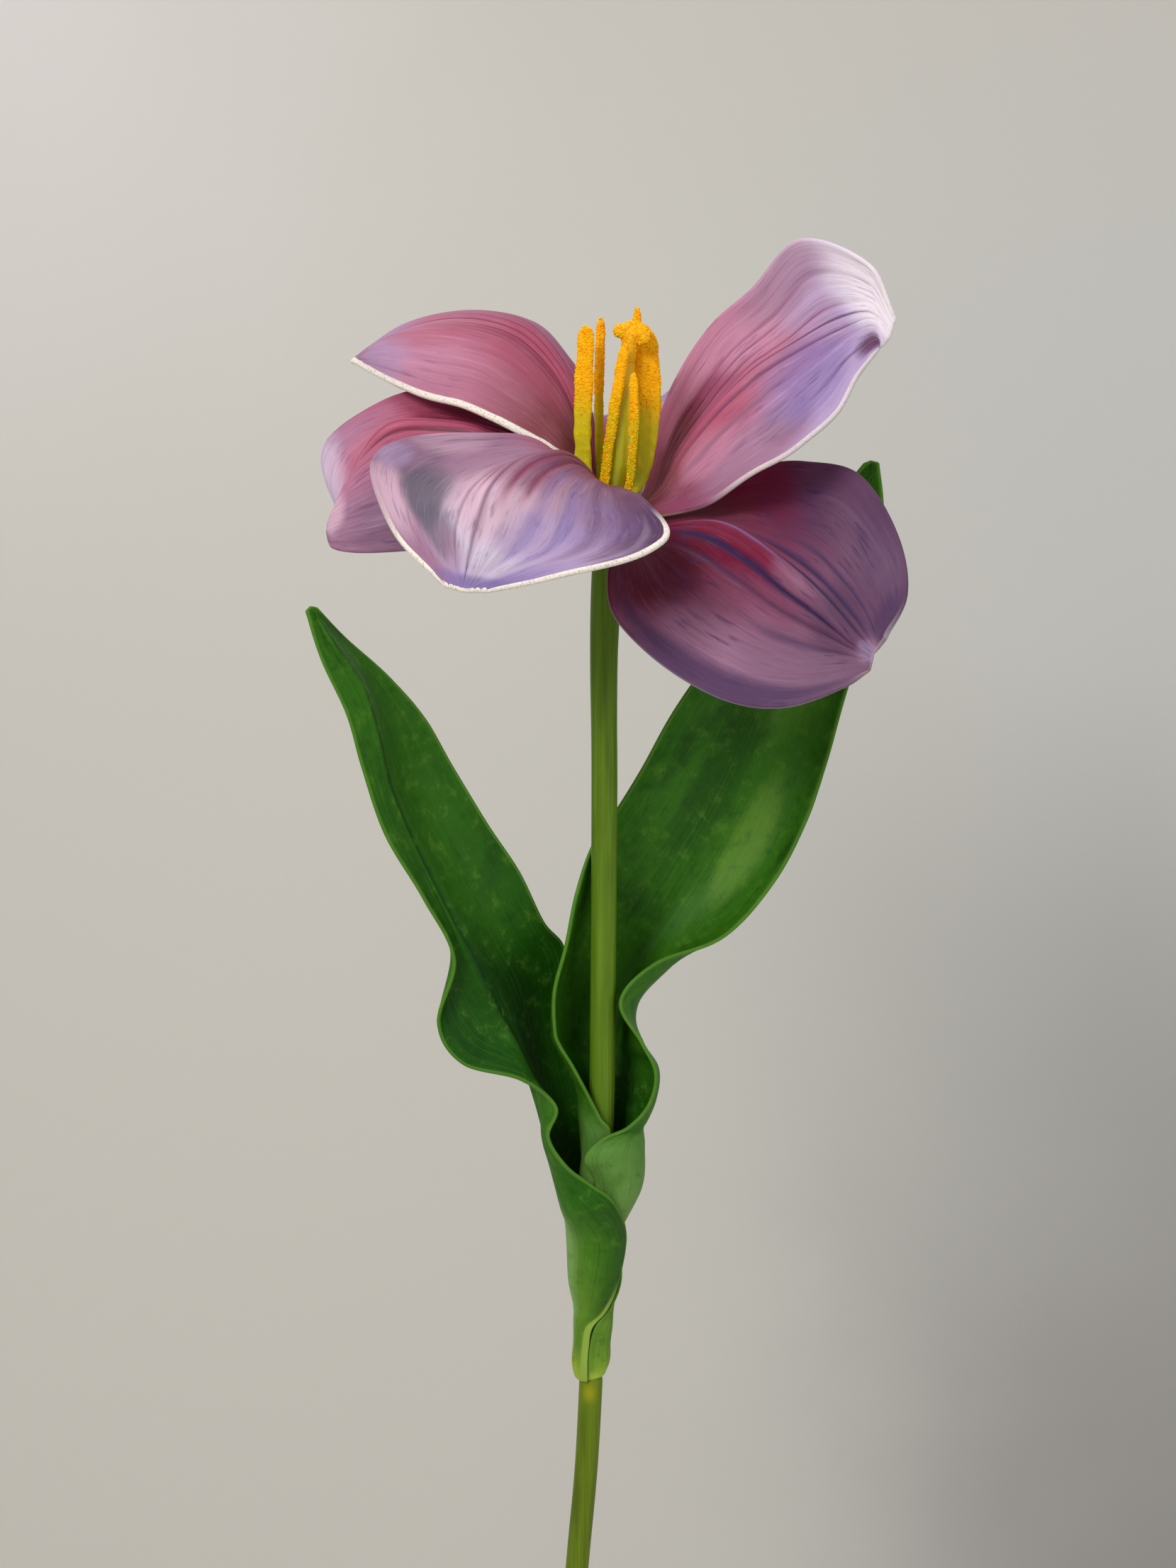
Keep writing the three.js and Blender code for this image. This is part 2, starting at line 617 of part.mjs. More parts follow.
function sheathStation([rise, flare, shiftX, shiftY, bearings]) {
  const { centre } = stemAt(lowerStemLength + rise * sheathLength);
  centre.x += shiftX * sheathFlare;
  centre.y += shiftY * sheathFlare;
  const snug = Math.max(collarRadius, upperStemRadius) + sheathClearance + leafThickness / 2;
  const radius = snug + flare * sheathFlare;
  const [leftAngle, ribAngle, rightAngle] = bearings.map(THREE.MathUtils.degToRad);
  const at = (angle) =>
    new THREE.Vector3(radius * Math.cos(angle), radius * Math.sin(angle), 0).add(centre);
  const bulge = (angle) => radius * (1 - Math.cos((angle - ribAngle) / 2));
  return {
    left: at(leftAngle),
    rib: at(ribAngle),
    right: at(rightAngle),
    bulges: [bulge(leftAngle), bulge(rightAngle)],
  };
}

const leafFoot = stemAt(lowerStemLength).centre;

for (const [name, { sheathShares, stationShares }] of Object.entries(leaves)) {
  const stations = [
    ...sheathShares.map(sheathStation),
    ...tableStations(stationShares, leafFoot, leafLength),
  ];
  addPiece(name, blade(stations, leafThickness, leafRows, leafColumns), materials.leaf);
}

// Stamens and pistil

// A strip along a route: an oval section whose half width and half depth change along it.
function strip(route, facing, sections) {
  const turn = THREE.MathUtils.degToRad(facing);
  const wide = new THREE.Vector3(Math.cos(turn), Math.sin(turn), 0);
  const deep = new THREE.Vector3(-Math.sin(turn), Math.cos(turn), 0);
  const rings = sections.map(([place, halfWidth, halfDepth]) => {
    const centre = curvePoint(route, place);
    return Array.from({ length: stripSides }, (_, k) => {
      const angle = (2 * Math.PI * k) / stripSides;
      return centre
        .clone()
        .addScaledVector(wide, halfWidth * Math.cos(angle))
        .addScaledVector(deep, halfDepth * Math.sin(angle));
    });
  });
  return lofted(rings);
}

// Each stamen: bearing of its foot and the way its flat side faces, in degrees, then the route as
// shares of the stamen's height from the foot's ring, and the anther's half width.
const stamens = [
  {
    bearing: 215,
    facing: 0,
    halfWidth: 1.85,
    routeShares: [[-0.08, -0.01, 0.12], [-0.1, -0.035, 0.45], [-0.08, -0.04, 0.955]],
  },
  {
    bearing: 135,
    facing: 15,
    halfWidth: 1,
    routeShares: [[-0.01, 0.03, 0.12], [-0.02, 0.06, 0.5], [-0.01, 0.06, 1]],
  },
  {
    bearing: 245,
    facing: -8,
    halfWidth: 1.1,
    routeShares: [[-0.01, -0.03, 0.12], [0.04, -0.06, 0.5], [0.1, -0.05, 0.86]],
  },
  {
    bearing: 315,
    facing: 5,
    halfWidth: 0.9,
    routeShares: [[0.045, -0.04, 0.12], [0.065, -0.07, 0.4], [0.065, -0.07, 0.705]],
  },
  {
    bearing: 20,
    facing: 10,
    halfWidth: 2.6,
    routeShares: [[0.075, 0.055, 0.12], [0.13, 0.07, 0.45], [0.12, 0.07, 0.93]],
  },
  {
    bearing: 75,
    facing: 0,
    halfWidth: 1,
    routeShares: [[0.03, 0.05, 0.12], [0.1, 0.09, 0.5], [0.12, 0.1, 1.05]],
  },
];

// [place along the route, half width, half depth]: the last two as shares of the anther's half width
// and of the filament's radius.
const stamenSectionShares = [
  [0, 0.45, 0.8], [0.3, 0.8, 1], [0.5, 0.9, 1.1], [0.75, 1, 1.1], [0.93, 0.85, 1], [1, 0.35, 0.5],
];

stamens.forEach(({ bearing, facing, halfWidth, routeShares }, k) => {
  const angle = THREE.MathUtils.degToRad(bearing);
  const foot = new THREE.Vector3(
    headCentre.x + stamenRingRadius * Math.cos(angle),
    stamenRingRadius * Math.sin(angle),
    centreBase,
  );
  const route = [foot, ...routeShares.map((shares) => placed(shares, foot, stamenHeight))];
  const sections = stamenSectionShares.map(([place, width, depth]) => [
    place,
    width * halfWidth,
    depth * filamentRadius,
  ]);
  addPiece("stamen_" + (k + 1), strip(route, facing, sections), materials.pollen);
});

// Pistil: [height, lean, radius] as shares of the pistil's height and the ovary's radius, and how
// deep the three lobes of the stigma are.
const pistilShares = [
  [0, 0, 0.4, 0], [0.06, 0.005, 0.6, 0], [0.2, 0.04, 0.95, 0], [0.45, 0.065, 1, 0], [0.6, 0.075, 0.8, 0],
  [0.73, 0.085, 0.45, 0], [0.83, 0.095, 0.5, 0.1], [0.9, 0.1, 0.8, 0.3], [0.97, 0.105, 0.83, 0.35],
  [1, 0.105, 0.43, 0.3],
];
const pistilSides = 12;
const stigmaLobes = 3;

function pistil() {
  const rings = pistilShares.map(([rise, lean, width, lobing]) =>
    Array.from({ length: pistilSides }, (_, k) => {
      const angle = (2 * Math.PI * k) / pistilSides;
      const radius = width * ovaryRadius * (1 + lobing * Math.cos(stigmaLobes * angle));
      return new THREE.Vector3(
        headCentre.x + lean * pistilHeight + radius * Math.cos(angle),
        radius * Math.sin(angle),
        centreBase + rise * pistilHeight,
      );
    }),
  );
  return lofted(rings);
}

addPiece("pistil", pistil(), materials.ovary);

export default tulip;
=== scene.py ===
# An open artificial tulip: mauve moulded petals, flocked stamens and two wrapped leaves on a stem.
import math

import bpy
import numpy as np
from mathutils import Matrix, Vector


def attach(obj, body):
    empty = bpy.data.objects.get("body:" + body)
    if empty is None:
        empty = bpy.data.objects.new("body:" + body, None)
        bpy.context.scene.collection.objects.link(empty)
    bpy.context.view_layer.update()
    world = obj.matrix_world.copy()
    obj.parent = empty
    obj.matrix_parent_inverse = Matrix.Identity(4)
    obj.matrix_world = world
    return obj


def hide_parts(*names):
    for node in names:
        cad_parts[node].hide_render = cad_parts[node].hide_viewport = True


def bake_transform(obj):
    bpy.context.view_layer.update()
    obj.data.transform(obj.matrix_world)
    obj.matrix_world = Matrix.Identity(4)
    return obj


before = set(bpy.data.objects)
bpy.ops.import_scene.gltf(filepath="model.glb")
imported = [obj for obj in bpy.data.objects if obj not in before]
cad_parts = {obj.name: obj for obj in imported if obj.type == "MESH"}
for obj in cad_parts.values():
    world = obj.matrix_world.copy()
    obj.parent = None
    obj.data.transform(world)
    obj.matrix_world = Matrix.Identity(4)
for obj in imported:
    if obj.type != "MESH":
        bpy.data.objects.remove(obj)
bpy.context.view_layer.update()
print("frame loaded")

mm = 0.001


# A signal is a node socket that takes arithmetic; a paint is the sheet of nodes that it lives on.


class Signal:
    def __init__(self, paint, socket):
        self.paint = paint
        self.socket = socket

    def maths(self, operation, *values):
        inputs = dict(enumerate(values))
        return self.paint.node("ShaderNodeMath", {"operation": operation}, inputs)

    def __add__(self, other):
        return self.maths("ADD", self, other)

    def __sub__(self, other):
        return self.maths("SUBTRACT", self, other)

    def __rsub__(self, other):
        return self.maths("SUBTRACT", other, self)

    def __mul__(self, other):
        return self.maths("MULTIPLY", self, other)

    def __truediv__(self, other):
        return self.maths("DIVIDE", self, other)

    def __pow__(self, other):
        return self.maths("POWER", self, other)

    def __abs__(self):
        return self.maths("ABSOLUTE", self)

    __radd__ = __add__
    __rmul__ = __mul__

    def least(self, other):
        return self.maths("MINIMUM", self, other)

    def most(self, other):
        return self.maths("MAXIMUM", self, other)

    def rise(self, low, high):  # 0 below low, 1 above high, smooth between
        if high < low:
            return 1 - self.rise(high, low)
        settings = {"interpolation_type": "SMOOTHSTEP"}
        inputs = {"Value": self, "From Min": low, "From Max": high}
        return self.paint.node("ShaderNodeMapRange", settings, inputs)

    def bump(self, centre, width):  # 1 at the centre, 0 a width away on both sides
        return abs(self - centre).rise(width, 0)


class Paint:
    def __init__(self, name):
        self.material = bpy.data.materials.new(name)
        self.material.use_nodes = True
        self.tree = self.material.node_tree
        self.tree.nodes.clear()
        self.kept = {}

    def node(self, kind, settings=None, inputs=None, output=0):
        made = self.tree.nodes.new(kind)
        for key, value in (settings or {}).items():
            if key == "stops":
                self.fillRamp(made.color_ramp, value)
            else:
                setattr(made, key, value)
        for key, value in (inputs or {}).items():
            if isinstance(value, Signal):
                self.tree.links.new(value.socket, made.inputs[key])
            else:
                made.inputs[key].default_value = value
        return Signal(self, made.outputs[output])

    def fillRamp(self, ramp, stops):
        while len(ramp.elements) < len(stops):
            ramp.elements.new(0.5)
        for element, (place, colour) in zip(ramp.elements, stops):
            element.position = place
            element.color = colour

    def once(self, key, make):
        if key not in self.kept:
            self.kept[key] = make()
        return self.kept[key]

    def attribute(self, name):
        settings = {"attribute_name": name}
        return self.once(name, lambda: self.node("ShaderNodeAttribute", settings, output="Fac"))

    def split(self, vector):
        return [self.node("ShaderNodeSeparateXYZ", None, {0: vector}, k) for k in range(3)]

    def across(self):
        return self.once("across", lambda: self.split(self.node("ShaderNodeUVMap"))[0])

    def along(self):
        return self.once("along", lambda: self.split(self.node("ShaderNodeUVMap"))[1])

    def place(self):
        return self.once("place", lambda: self.node("ShaderNodeTexCoord", output="Object"))

    def stretched(self, *scales):  # the place on the object, scaled along each axis
        return self.vector(*[part * scale for part, scale in zip(self.split(self.place()), scales)])

    def vector(self, x, y, z=0.0):
        return self.node("ShaderNodeCombineXYZ", None, {0: x, 1: y, 2: z})

    def noise(self, vector, scale=1.0, detail=2.0, roughness=0.5):
        inputs = {"Vector": vector, "Scale": scale, "Detail": detail, "Roughness": roughness}
        return self.node("ShaderNodeTexNoise", None, inputs)

    def mix(self, first, second, factor, blend="MIX"):
        settings = {"data_type": "RGBA", "blend_type": blend}
        inputs = {0: factor, 6: asColour(first), 7: asColour(second)}
        return self.node("ShaderNodeMix", settings, inputs, 2)

    def ramp(self, value, stops):
        stops = [(place, asColour(colour)) for place, colour in stops]
        return self.node("ShaderNodeValToRGB", {"stops": stops}, {0: value})

    def blend(self, value, palette, places, words):  # a ramp of named colours
        return self.ramp(value, [(place, palette[word]) for place, word in zip(places, words.split())])

    def addPatches(self, colour, palette, patches, across, along, ragged):
        for word, middle, height, halfWide, halfTall, strength in patches:
            far = ((across - middle) / halfWide) ** 2 + ((along - height) / halfTall) ** 2 + ragged
            colour = self.mix(colour, palette[word], far.rise(1.7, 0.1) * strength)
        return colour

    def finish(self, colour, roughness, height=None, depth=0.0, fixed=None):
        inputs = {"Base Color": asColour(colour), "Roughness": roughness}
        inputs.update(fixed or {})
        if height is not None:
            inputs["Normal"] = self.node("ShaderNodeBump", None, {"Distance": depth, "Height": height})
        shader = self.node("ShaderNodeBsdfPrincipled", None, inputs)
        output = self.tree.nodes.new("ShaderNodeOutputMaterial")
        self.tree.links.new(shader.socket, output.inputs["Surface"])
        return self.material


def asColour(value):
    if isinstance(value, Signal) or len(value) == 4:
        return value
    return tuple(toLinear(channel / 255) for channel in value) + (1.0,)


def toLinear(channel):
    return channel / 12.92 if channel <= 0.04045 else ((channel + 0.055) / 1.055) ** 2.4


# The stem's line and the blades' surfaces are the ones that the solids follow.


stem = {
    "lowerLength": 211,
    "upperLength": 189,
    "lean": 9.2,
    "headLean": 4.3,
    "lowerShares": [[0, 0], [0.24, 0.01], [0.47, 0.17], [0.66, 0.43], [0.81, 0.7], [0.9, 0.88], [1, 1]],
    "upperShares": [
        [0.17, 0.3], [0.3, 0.51], [0.465, 0.6], [0.71, 0.65], [0.85, 0.63], [0.937, 0.77], [1, 1],
    ],
}
stemLength = stem["lowerLength"] + stem["upperLength"]
stemRoute = [(rise * stem["lowerLength"], lean * stem["lean"]) for rise, lean in stem["lowerShares"]] + [
    (stem["lowerLength"] + rise * stem["upperLength"], stem["lean"] + lean * stem["headLean"])
    for rise, lean in stem["upperShares"]
]


def routeSlope(index):
    if index in (0, len(stemRoute) - 1):
        return 0.0
    (heightBefore, leanBefore), (heightAfter, leanAfter) = stemRoute[index - 1], stemRoute[index + 1]
    return (leanAfter - leanBefore) / (heightAfter - heightBefore)


def stemAt(height):  # centre in millimetres, and slope
    if height <= 0 or height >= stemLength:
        return np.array([stemRoute[0 if height <= 0 else -1][1], 0, height]), 0.0
    index = next(k for k, (rise, _) in enumerate(stemRoute) if rise > height) - 1
    (startHeight, startLean), (endHeight, endLean) = stemRoute[index], stemRoute[index + 1]
    run = endHeight - startHeight
    t = (height - startHeight) / run
    startPull, endPull = routeSlope(index) * run, routeSlope(index + 1) * run
    bend = 2 * (startLean - endLean) + startPull + endPull
    turn = 3 * (endLean - startLean) - 2 * startPull - endPull
    lean = ((bend * t + turn) * t + startPull) * t + startLean
    return np.array([lean, 0, height]), ((3 * bend * t + 2 * turn) * t + startPull) / run


def curveWeights(count, places):  # of a curve that passes through each of its points
    place = np.clip(np.asarray(places, float), 0, 1) * (count - 1)
    index = np.minimum(place.astype(int), count - 2)
    f = place - index
    four = [2 * f**2 - f - f**3, 2 - 5 * f**2 + 3 * f**3, f + 4 * f**2 - 3 * f**3, f**3 - f**2]
    wide = np.zeros((len(place), count + 2))
    for k, weight in enumerate(four):
        wide[np.arange(len(place)), index + k] += weight / 2
    weights = wide[:, 1:-1].copy()
    weights[:, 0] += 2 * wide[:, 0]
    weights[:, 1] -= wide[:, 0]
    weights[:, -1] += 2 * wide[:, -1]
    weights[:, -2] -= wide[:, -1]
    return weights


def unit(vectors):
    length = np.linalg.norm(vectors, axis=-1, keepdims=True)
    return vectors / np.maximum(length, 1e-9)


def towards(bearing):  # a level unit vector; bearings run anticlockwise from the photo's right
    return np.array([math.cos(bearing), math.sin(bearing), 0])


def arcBetween(start, end, away, bulge, count=4):
    along = end - start
    chord = np.linalg.norm(along)
    along = along / chord
    half = 2 * math.atan2(2 * bulge, chord)
    u = np.arange(1, count + 1) / count
    if abs(half) < 0.001:
        reach, lift = chord * u, 4 * u * (1 - u) * bulge
    else:
        radius = chord / (2 * math.sin(half))
        swing = half * (2 * u - 1)
        reach, lift = chord / 2 + radius * np.sin(swing), radius * (np.cos(swing) - math.cos(half))
    return start + reach[:, None] * along + lift[:, None] * away


def bladeNet(stations):
    net = []
    for k, (left, rib, right, bulges) in enumerate(stations):
        ahead = unit(stations[min(k + 1, len(stations) - 1)][1] - stations[max(k - 1, 0)][1])
        leftArc = arcBetween(rib, left, unit(np.cross(left - rib, ahead)), bulges[0])
        rightArc = arcBetween(rib, right, unit(np.cross(ahead, right - rib)), bulges[1])
        net.append(np.vstack([leftArc[::-1], rib[None], rightArc]))
    return np.array(net)


def tableStations(shares, start, length):
    return [
        (*[np.array(point) * length + start for point in (left, rib, right)], np.array(bulges) * length)
        for left, rib, right, bulges in shares
    ]


def makeObject(name, points, faces, materials, uv=None, attributes=None):
    mesh = bpy.data.meshes.new(name)
    mesh.from_pydata((np.asarray(points) * mm).tolist(), [], faces)
    if signedVolume(mesh) < 0:
        mesh.flip_normals()
    for material in materials:
        mesh.materials.append(material)
    corners = np.empty(len(mesh.loops), np.int32)
    mesh.loops.foreach_get("vertex_index", corners)
    if uv is not None:
        layer = mesh.uv_layers.new(name="UVMap")
        layer.data.foreach_set("uv", np.asarray(uv, np.float32)[corners].ravel())
    setAttributes(mesh, attributes or {})
    mesh.polygons.foreach_set("use_smooth", [True] * len(mesh.polygons))
    made = bpy.data.objects.new(name, mesh)
    bpy.context.scene.collection.objects.link(made)
    return made


def setAttributes(mesh, attributes):
    for key, values in attributes.items():
        layer = mesh.attributes.new(key, "FLOAT", "POINT")
        layer.data.foreach_set("value", np.asarray(values, np.float32))


def applyModifiers(piece):
    bpy.context.view_layer.update()
    evaluated = piece.evaluated_get(bpy.context.evaluated_depsgraph_get())
    mesh = bpy.data.meshes.new_from_object(evaluated)
    piece.modifiers.clear()
    piece.data = mesh
    return mesh


def signedVolume(mesh):
    mesh.calc_loop_triangles()
    corners = np.array([triangle.vertices[:] for triangle in mesh.loop_triangles])
    points = np.array([vertex.co[:] for vertex in mesh.vertices])
    a, b, c = (points[corners[:, k]] for k in range(3))
    return float(np.einsum("ij,ij->i", a, np.cross(b, c)).sum())


def ripple(u, v, seed, count, across, along):  # smooth wandering values about 0, within about 1
    chance = np.random.default_rng(seed)
    total = np.zeros(np.broadcast(u, v).shape)
    for _ in range(count):
        turnU, turnV = chance.uniform(0.4, 1) * across, chance.uniform(-1, 1) * along
        total += np.sin(2 * math.pi * (turnU * u + turnV * v + chance.uniform()))
    return total / math.sqrt(count) / 1.4


def bladeObject(name, stations, shape, material):
    rows, columns = shape["rows"], shape["columns"]
    half, rimHalf = shape["thickness"] / 2, shape["rim"] / 2
    net = bladeNet(stations)
    length = np.linalg.norm(np.diff([s[1] for s in stations], axis=0), axis=1).sum()
    inset = rimHalf / length
    v = np.linspace(inset * 0.5, 1 - inset * 0.5, rows)
    rowNets = np.einsum("rs,sad->rad", curveWeights(len(net), v), net)
    width = np.linalg.norm(np.diff(rowNets, axis=1), axis=2).sum(axis=1)
    side = np.minimum(rimHalf / width, shape["mostInset"])
    u = side[:, None] + (1 - 2 * side[:, None]) * np.linspace(0, 1, columns)[None]
    weights = curveWeights(net.shape[1], u.ravel()).reshape(rows, columns, -1)
    surface = np.einsum("rca,rad->rcd", weights, rowNets)

    def normals():
        return unit(np.cross(np.gradient(surface, axis=1), np.gradient(surface, axis=0)))

    steps = np.linalg.norm(np.diff(surface, axis=1), axis=2)
    reached = np.concatenate([np.zeros((rows, 1)), np.cumsum(steps, axis=1)], axis=1)
    toSide = np.minimum(reached, reached[:, -1:] - reached)
    toTip = ((1 - v) * length)[:, None] + 0 * toSide
    margin = np.minimum(toSide, toTip)
    vv = v[:, None] + 0 * u
    surface = surface + normals() * shape["relief"](u, vv, margin)[..., None]
    facing = normals()
    thick = half + (rimHalf - half) * np.exp(-margin / shape["rimReach"])
    if "footReach" in shape:
        risen = np.clip(vv * length / shape["footReach"], 0, 1)
        thick = thick * (shape["footShare"] + (1 - shape["footShare"]) * risen)
    upper, lower = surface + facing * thick[..., None], surface - facing * thick[..., None]

    grid = np.arange(rows * columns).reshape(rows, columns)
    loop = np.concatenate([grid[0, :-1], grid[:-1, -1], grid[-1, :0:-1], grid[:0:-1, 0]])
    flat, flatFacing, flatThick = surface.reshape(-1, 3), facing.reshape(-1, 3), thick.ravel()
    tangent = unit(np.roll(flat[loop], -1, axis=0) - np.roll(flat[loop], 1, axis=0))
    outward = unit(np.cross(tangent, flatFacing[loop]))
    turns = np.linspace(0, math.pi, shape["rimRows"])[1:-1]
    loops = [
        flat[loop]
        + (flatFacing[loop] * math.cos(turn) + outward * math.sin(turn)) * flatThick[loop][:, None]
        for turn in turns
    ]
    points = np.vstack([upper.reshape(-1, 3), lower.reshape(-1, 3), *loops])

    count, under = len(loop), rows * columns
    a, b = grid[:-1, :-1].ravel(), grid[:-1, 1:].ravel()
    c, d = grid[1:, 1:].ravel(), grid[1:, :-1].ravel()
    faces = np.vstack([np.stack([a, b, c, d], 1), under + np.stack([a, d, c, b], 1)]).tolist()
    rings = [loop] + [2 * under + k * count + np.arange(count) for k in range(len(turns))] + [under + loop]
    for near, far in zip(rings, rings[1:]):
        faces += np.stack([near, far, np.roll(far, -1), np.roll(near, -1)], 1).tolist()

    uv = np.stack([u.ravel(), vv.ravel()], 1)
    uv = np.vstack([uv, uv] + [uv[loop]] * len(turns))

    def shares(above, below, ofTurn):  # over the upper sheet, the lower sheet and the loops of the rim
        return np.concatenate([above, below] + [np.full(count, float(ofTurn(turn))) for turn in turns])

    none = np.zeros(under)
    attributes = {
        "margin": shares(margin.ravel(), margin.ravel(), lambda turn: 0),
        "edge": shares(none, none, math.sin),
        "inner": shares(none + 1, none, lambda turn: 1 - turn / math.pi),
    }
    return makeObject(name, points, faces, [material], uv, attributes)


def tubeObject(name, rings, material, uv=None, attributes=None, closed=False, extra=()):
    rings = np.asarray(rings)
    rows, sides = rings.shape[:2]
    grid = np.arange(rows * sides).reshape(rows, sides)
    points = rings.reshape(-1, 3)
    faces = []
    order = list(zip(grid, grid[1:])) + ([(grid[-1], grid[0])] if closed else [])
    for low, high in order:
        faces += np.stack([low, np.roll(low, -1), np.roll(high, -1), high], 1).tolist()
    if not closed:
        points = np.vstack([points, rings[0].mean(0), rings[-1].mean(0)])
        start, end = rows * sides, rows * sides + 1
        faces += [[start, grid[0][(k + 1) % sides], grid[0][k]] for k in range(sides)]
        faces += [[end, grid[-1][k], grid[-1][(k + 1) % sides]] for k in range(sides)]
    if attributes:
        attributes = {
            key: values if closed else np.concatenate([values, [values[0], values[-1]]])
            for key, values in attributes.items()
        }
    return makeObject(name, points, faces, [material, *extra], uv, attributes)


def stemRings(profile, sides, wobble=0.0, seed=1):  # profile is [radius, height], round the stem's axis
    angles = np.arange(sides) * 2 * math.pi / sides
    rings = []
    for radius, height in profile:
        centre, slope = stemAt(height)
        across = unit(np.array([1, 0, -slope]))
        swell = 1 + wobble * ripple(angles / (2 * math.pi), height / 40, seed, 5, 3, 1)
        reach = (radius * swell)[:, None]
        ring = centre + reach * (np.cos(angles)[:, None] * across + np.sin(angles)[:, None] * [0, 1, 0])
        rings.append(ring)
    return rings


def between(radius, start, end, step):
    count = max(1, round(abs(end - start) / step))
    return [(radius, start + (end - start) * k / count) for k in range(count + 1)]


def settle(piece, body, slot, *nodes):
    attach(piece, body)
    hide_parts(*nodes)
    return piece


tint = {
    "burgundy": (84, 14, 34),
    "claret": (122, 12, 50),
    "umber": (96, 38, 34),
    "russet": (138, 72, 80),
    "wine": (126, 38, 66),
    "berry": (140, 66, 98),
    "rose": (170, 78, 104),
    "blush": (182, 112, 136),
    "pink": (196, 136, 164),
    "mauve": (158, 114, 142),
    "dusk": (130, 94, 120),
    "plum": (98, 60, 92),
    "indigo": (62, 42, 84),
    "lilac": (174, 150, 190),
    "violet": (128, 110, 168),
    "shell": (216, 178, 196),
    "mist": (212, 196, 216),
    "pearl": (244, 232, 240),
    "cream": (226, 218, 206),
    # a grey used only for painted shade on the front petal
    "shadeSlate": (92, 88, 102),
    "moss": (150, 160, 92),
}

petalShape = {
    "length": 75,
    "rootRadius": 4 + 0.3 + 0.6,
    "clawWidth": 4.2,
    "rows": 150,
    "columns": 129,
    "thickness": 0.95,
    "rim": 1.1,
    "rimReach": 2.5,
    "rimRows": 7,
    "mostInset": 0.2,
    "ribDepth": 0.1,
    "ribPitch": 0.052,
    "ribSpread": 0.15,
    "grooveDepth": 0.32,
    "rippleDepth": 0.1,
    "frillDepth": 0.3,
}

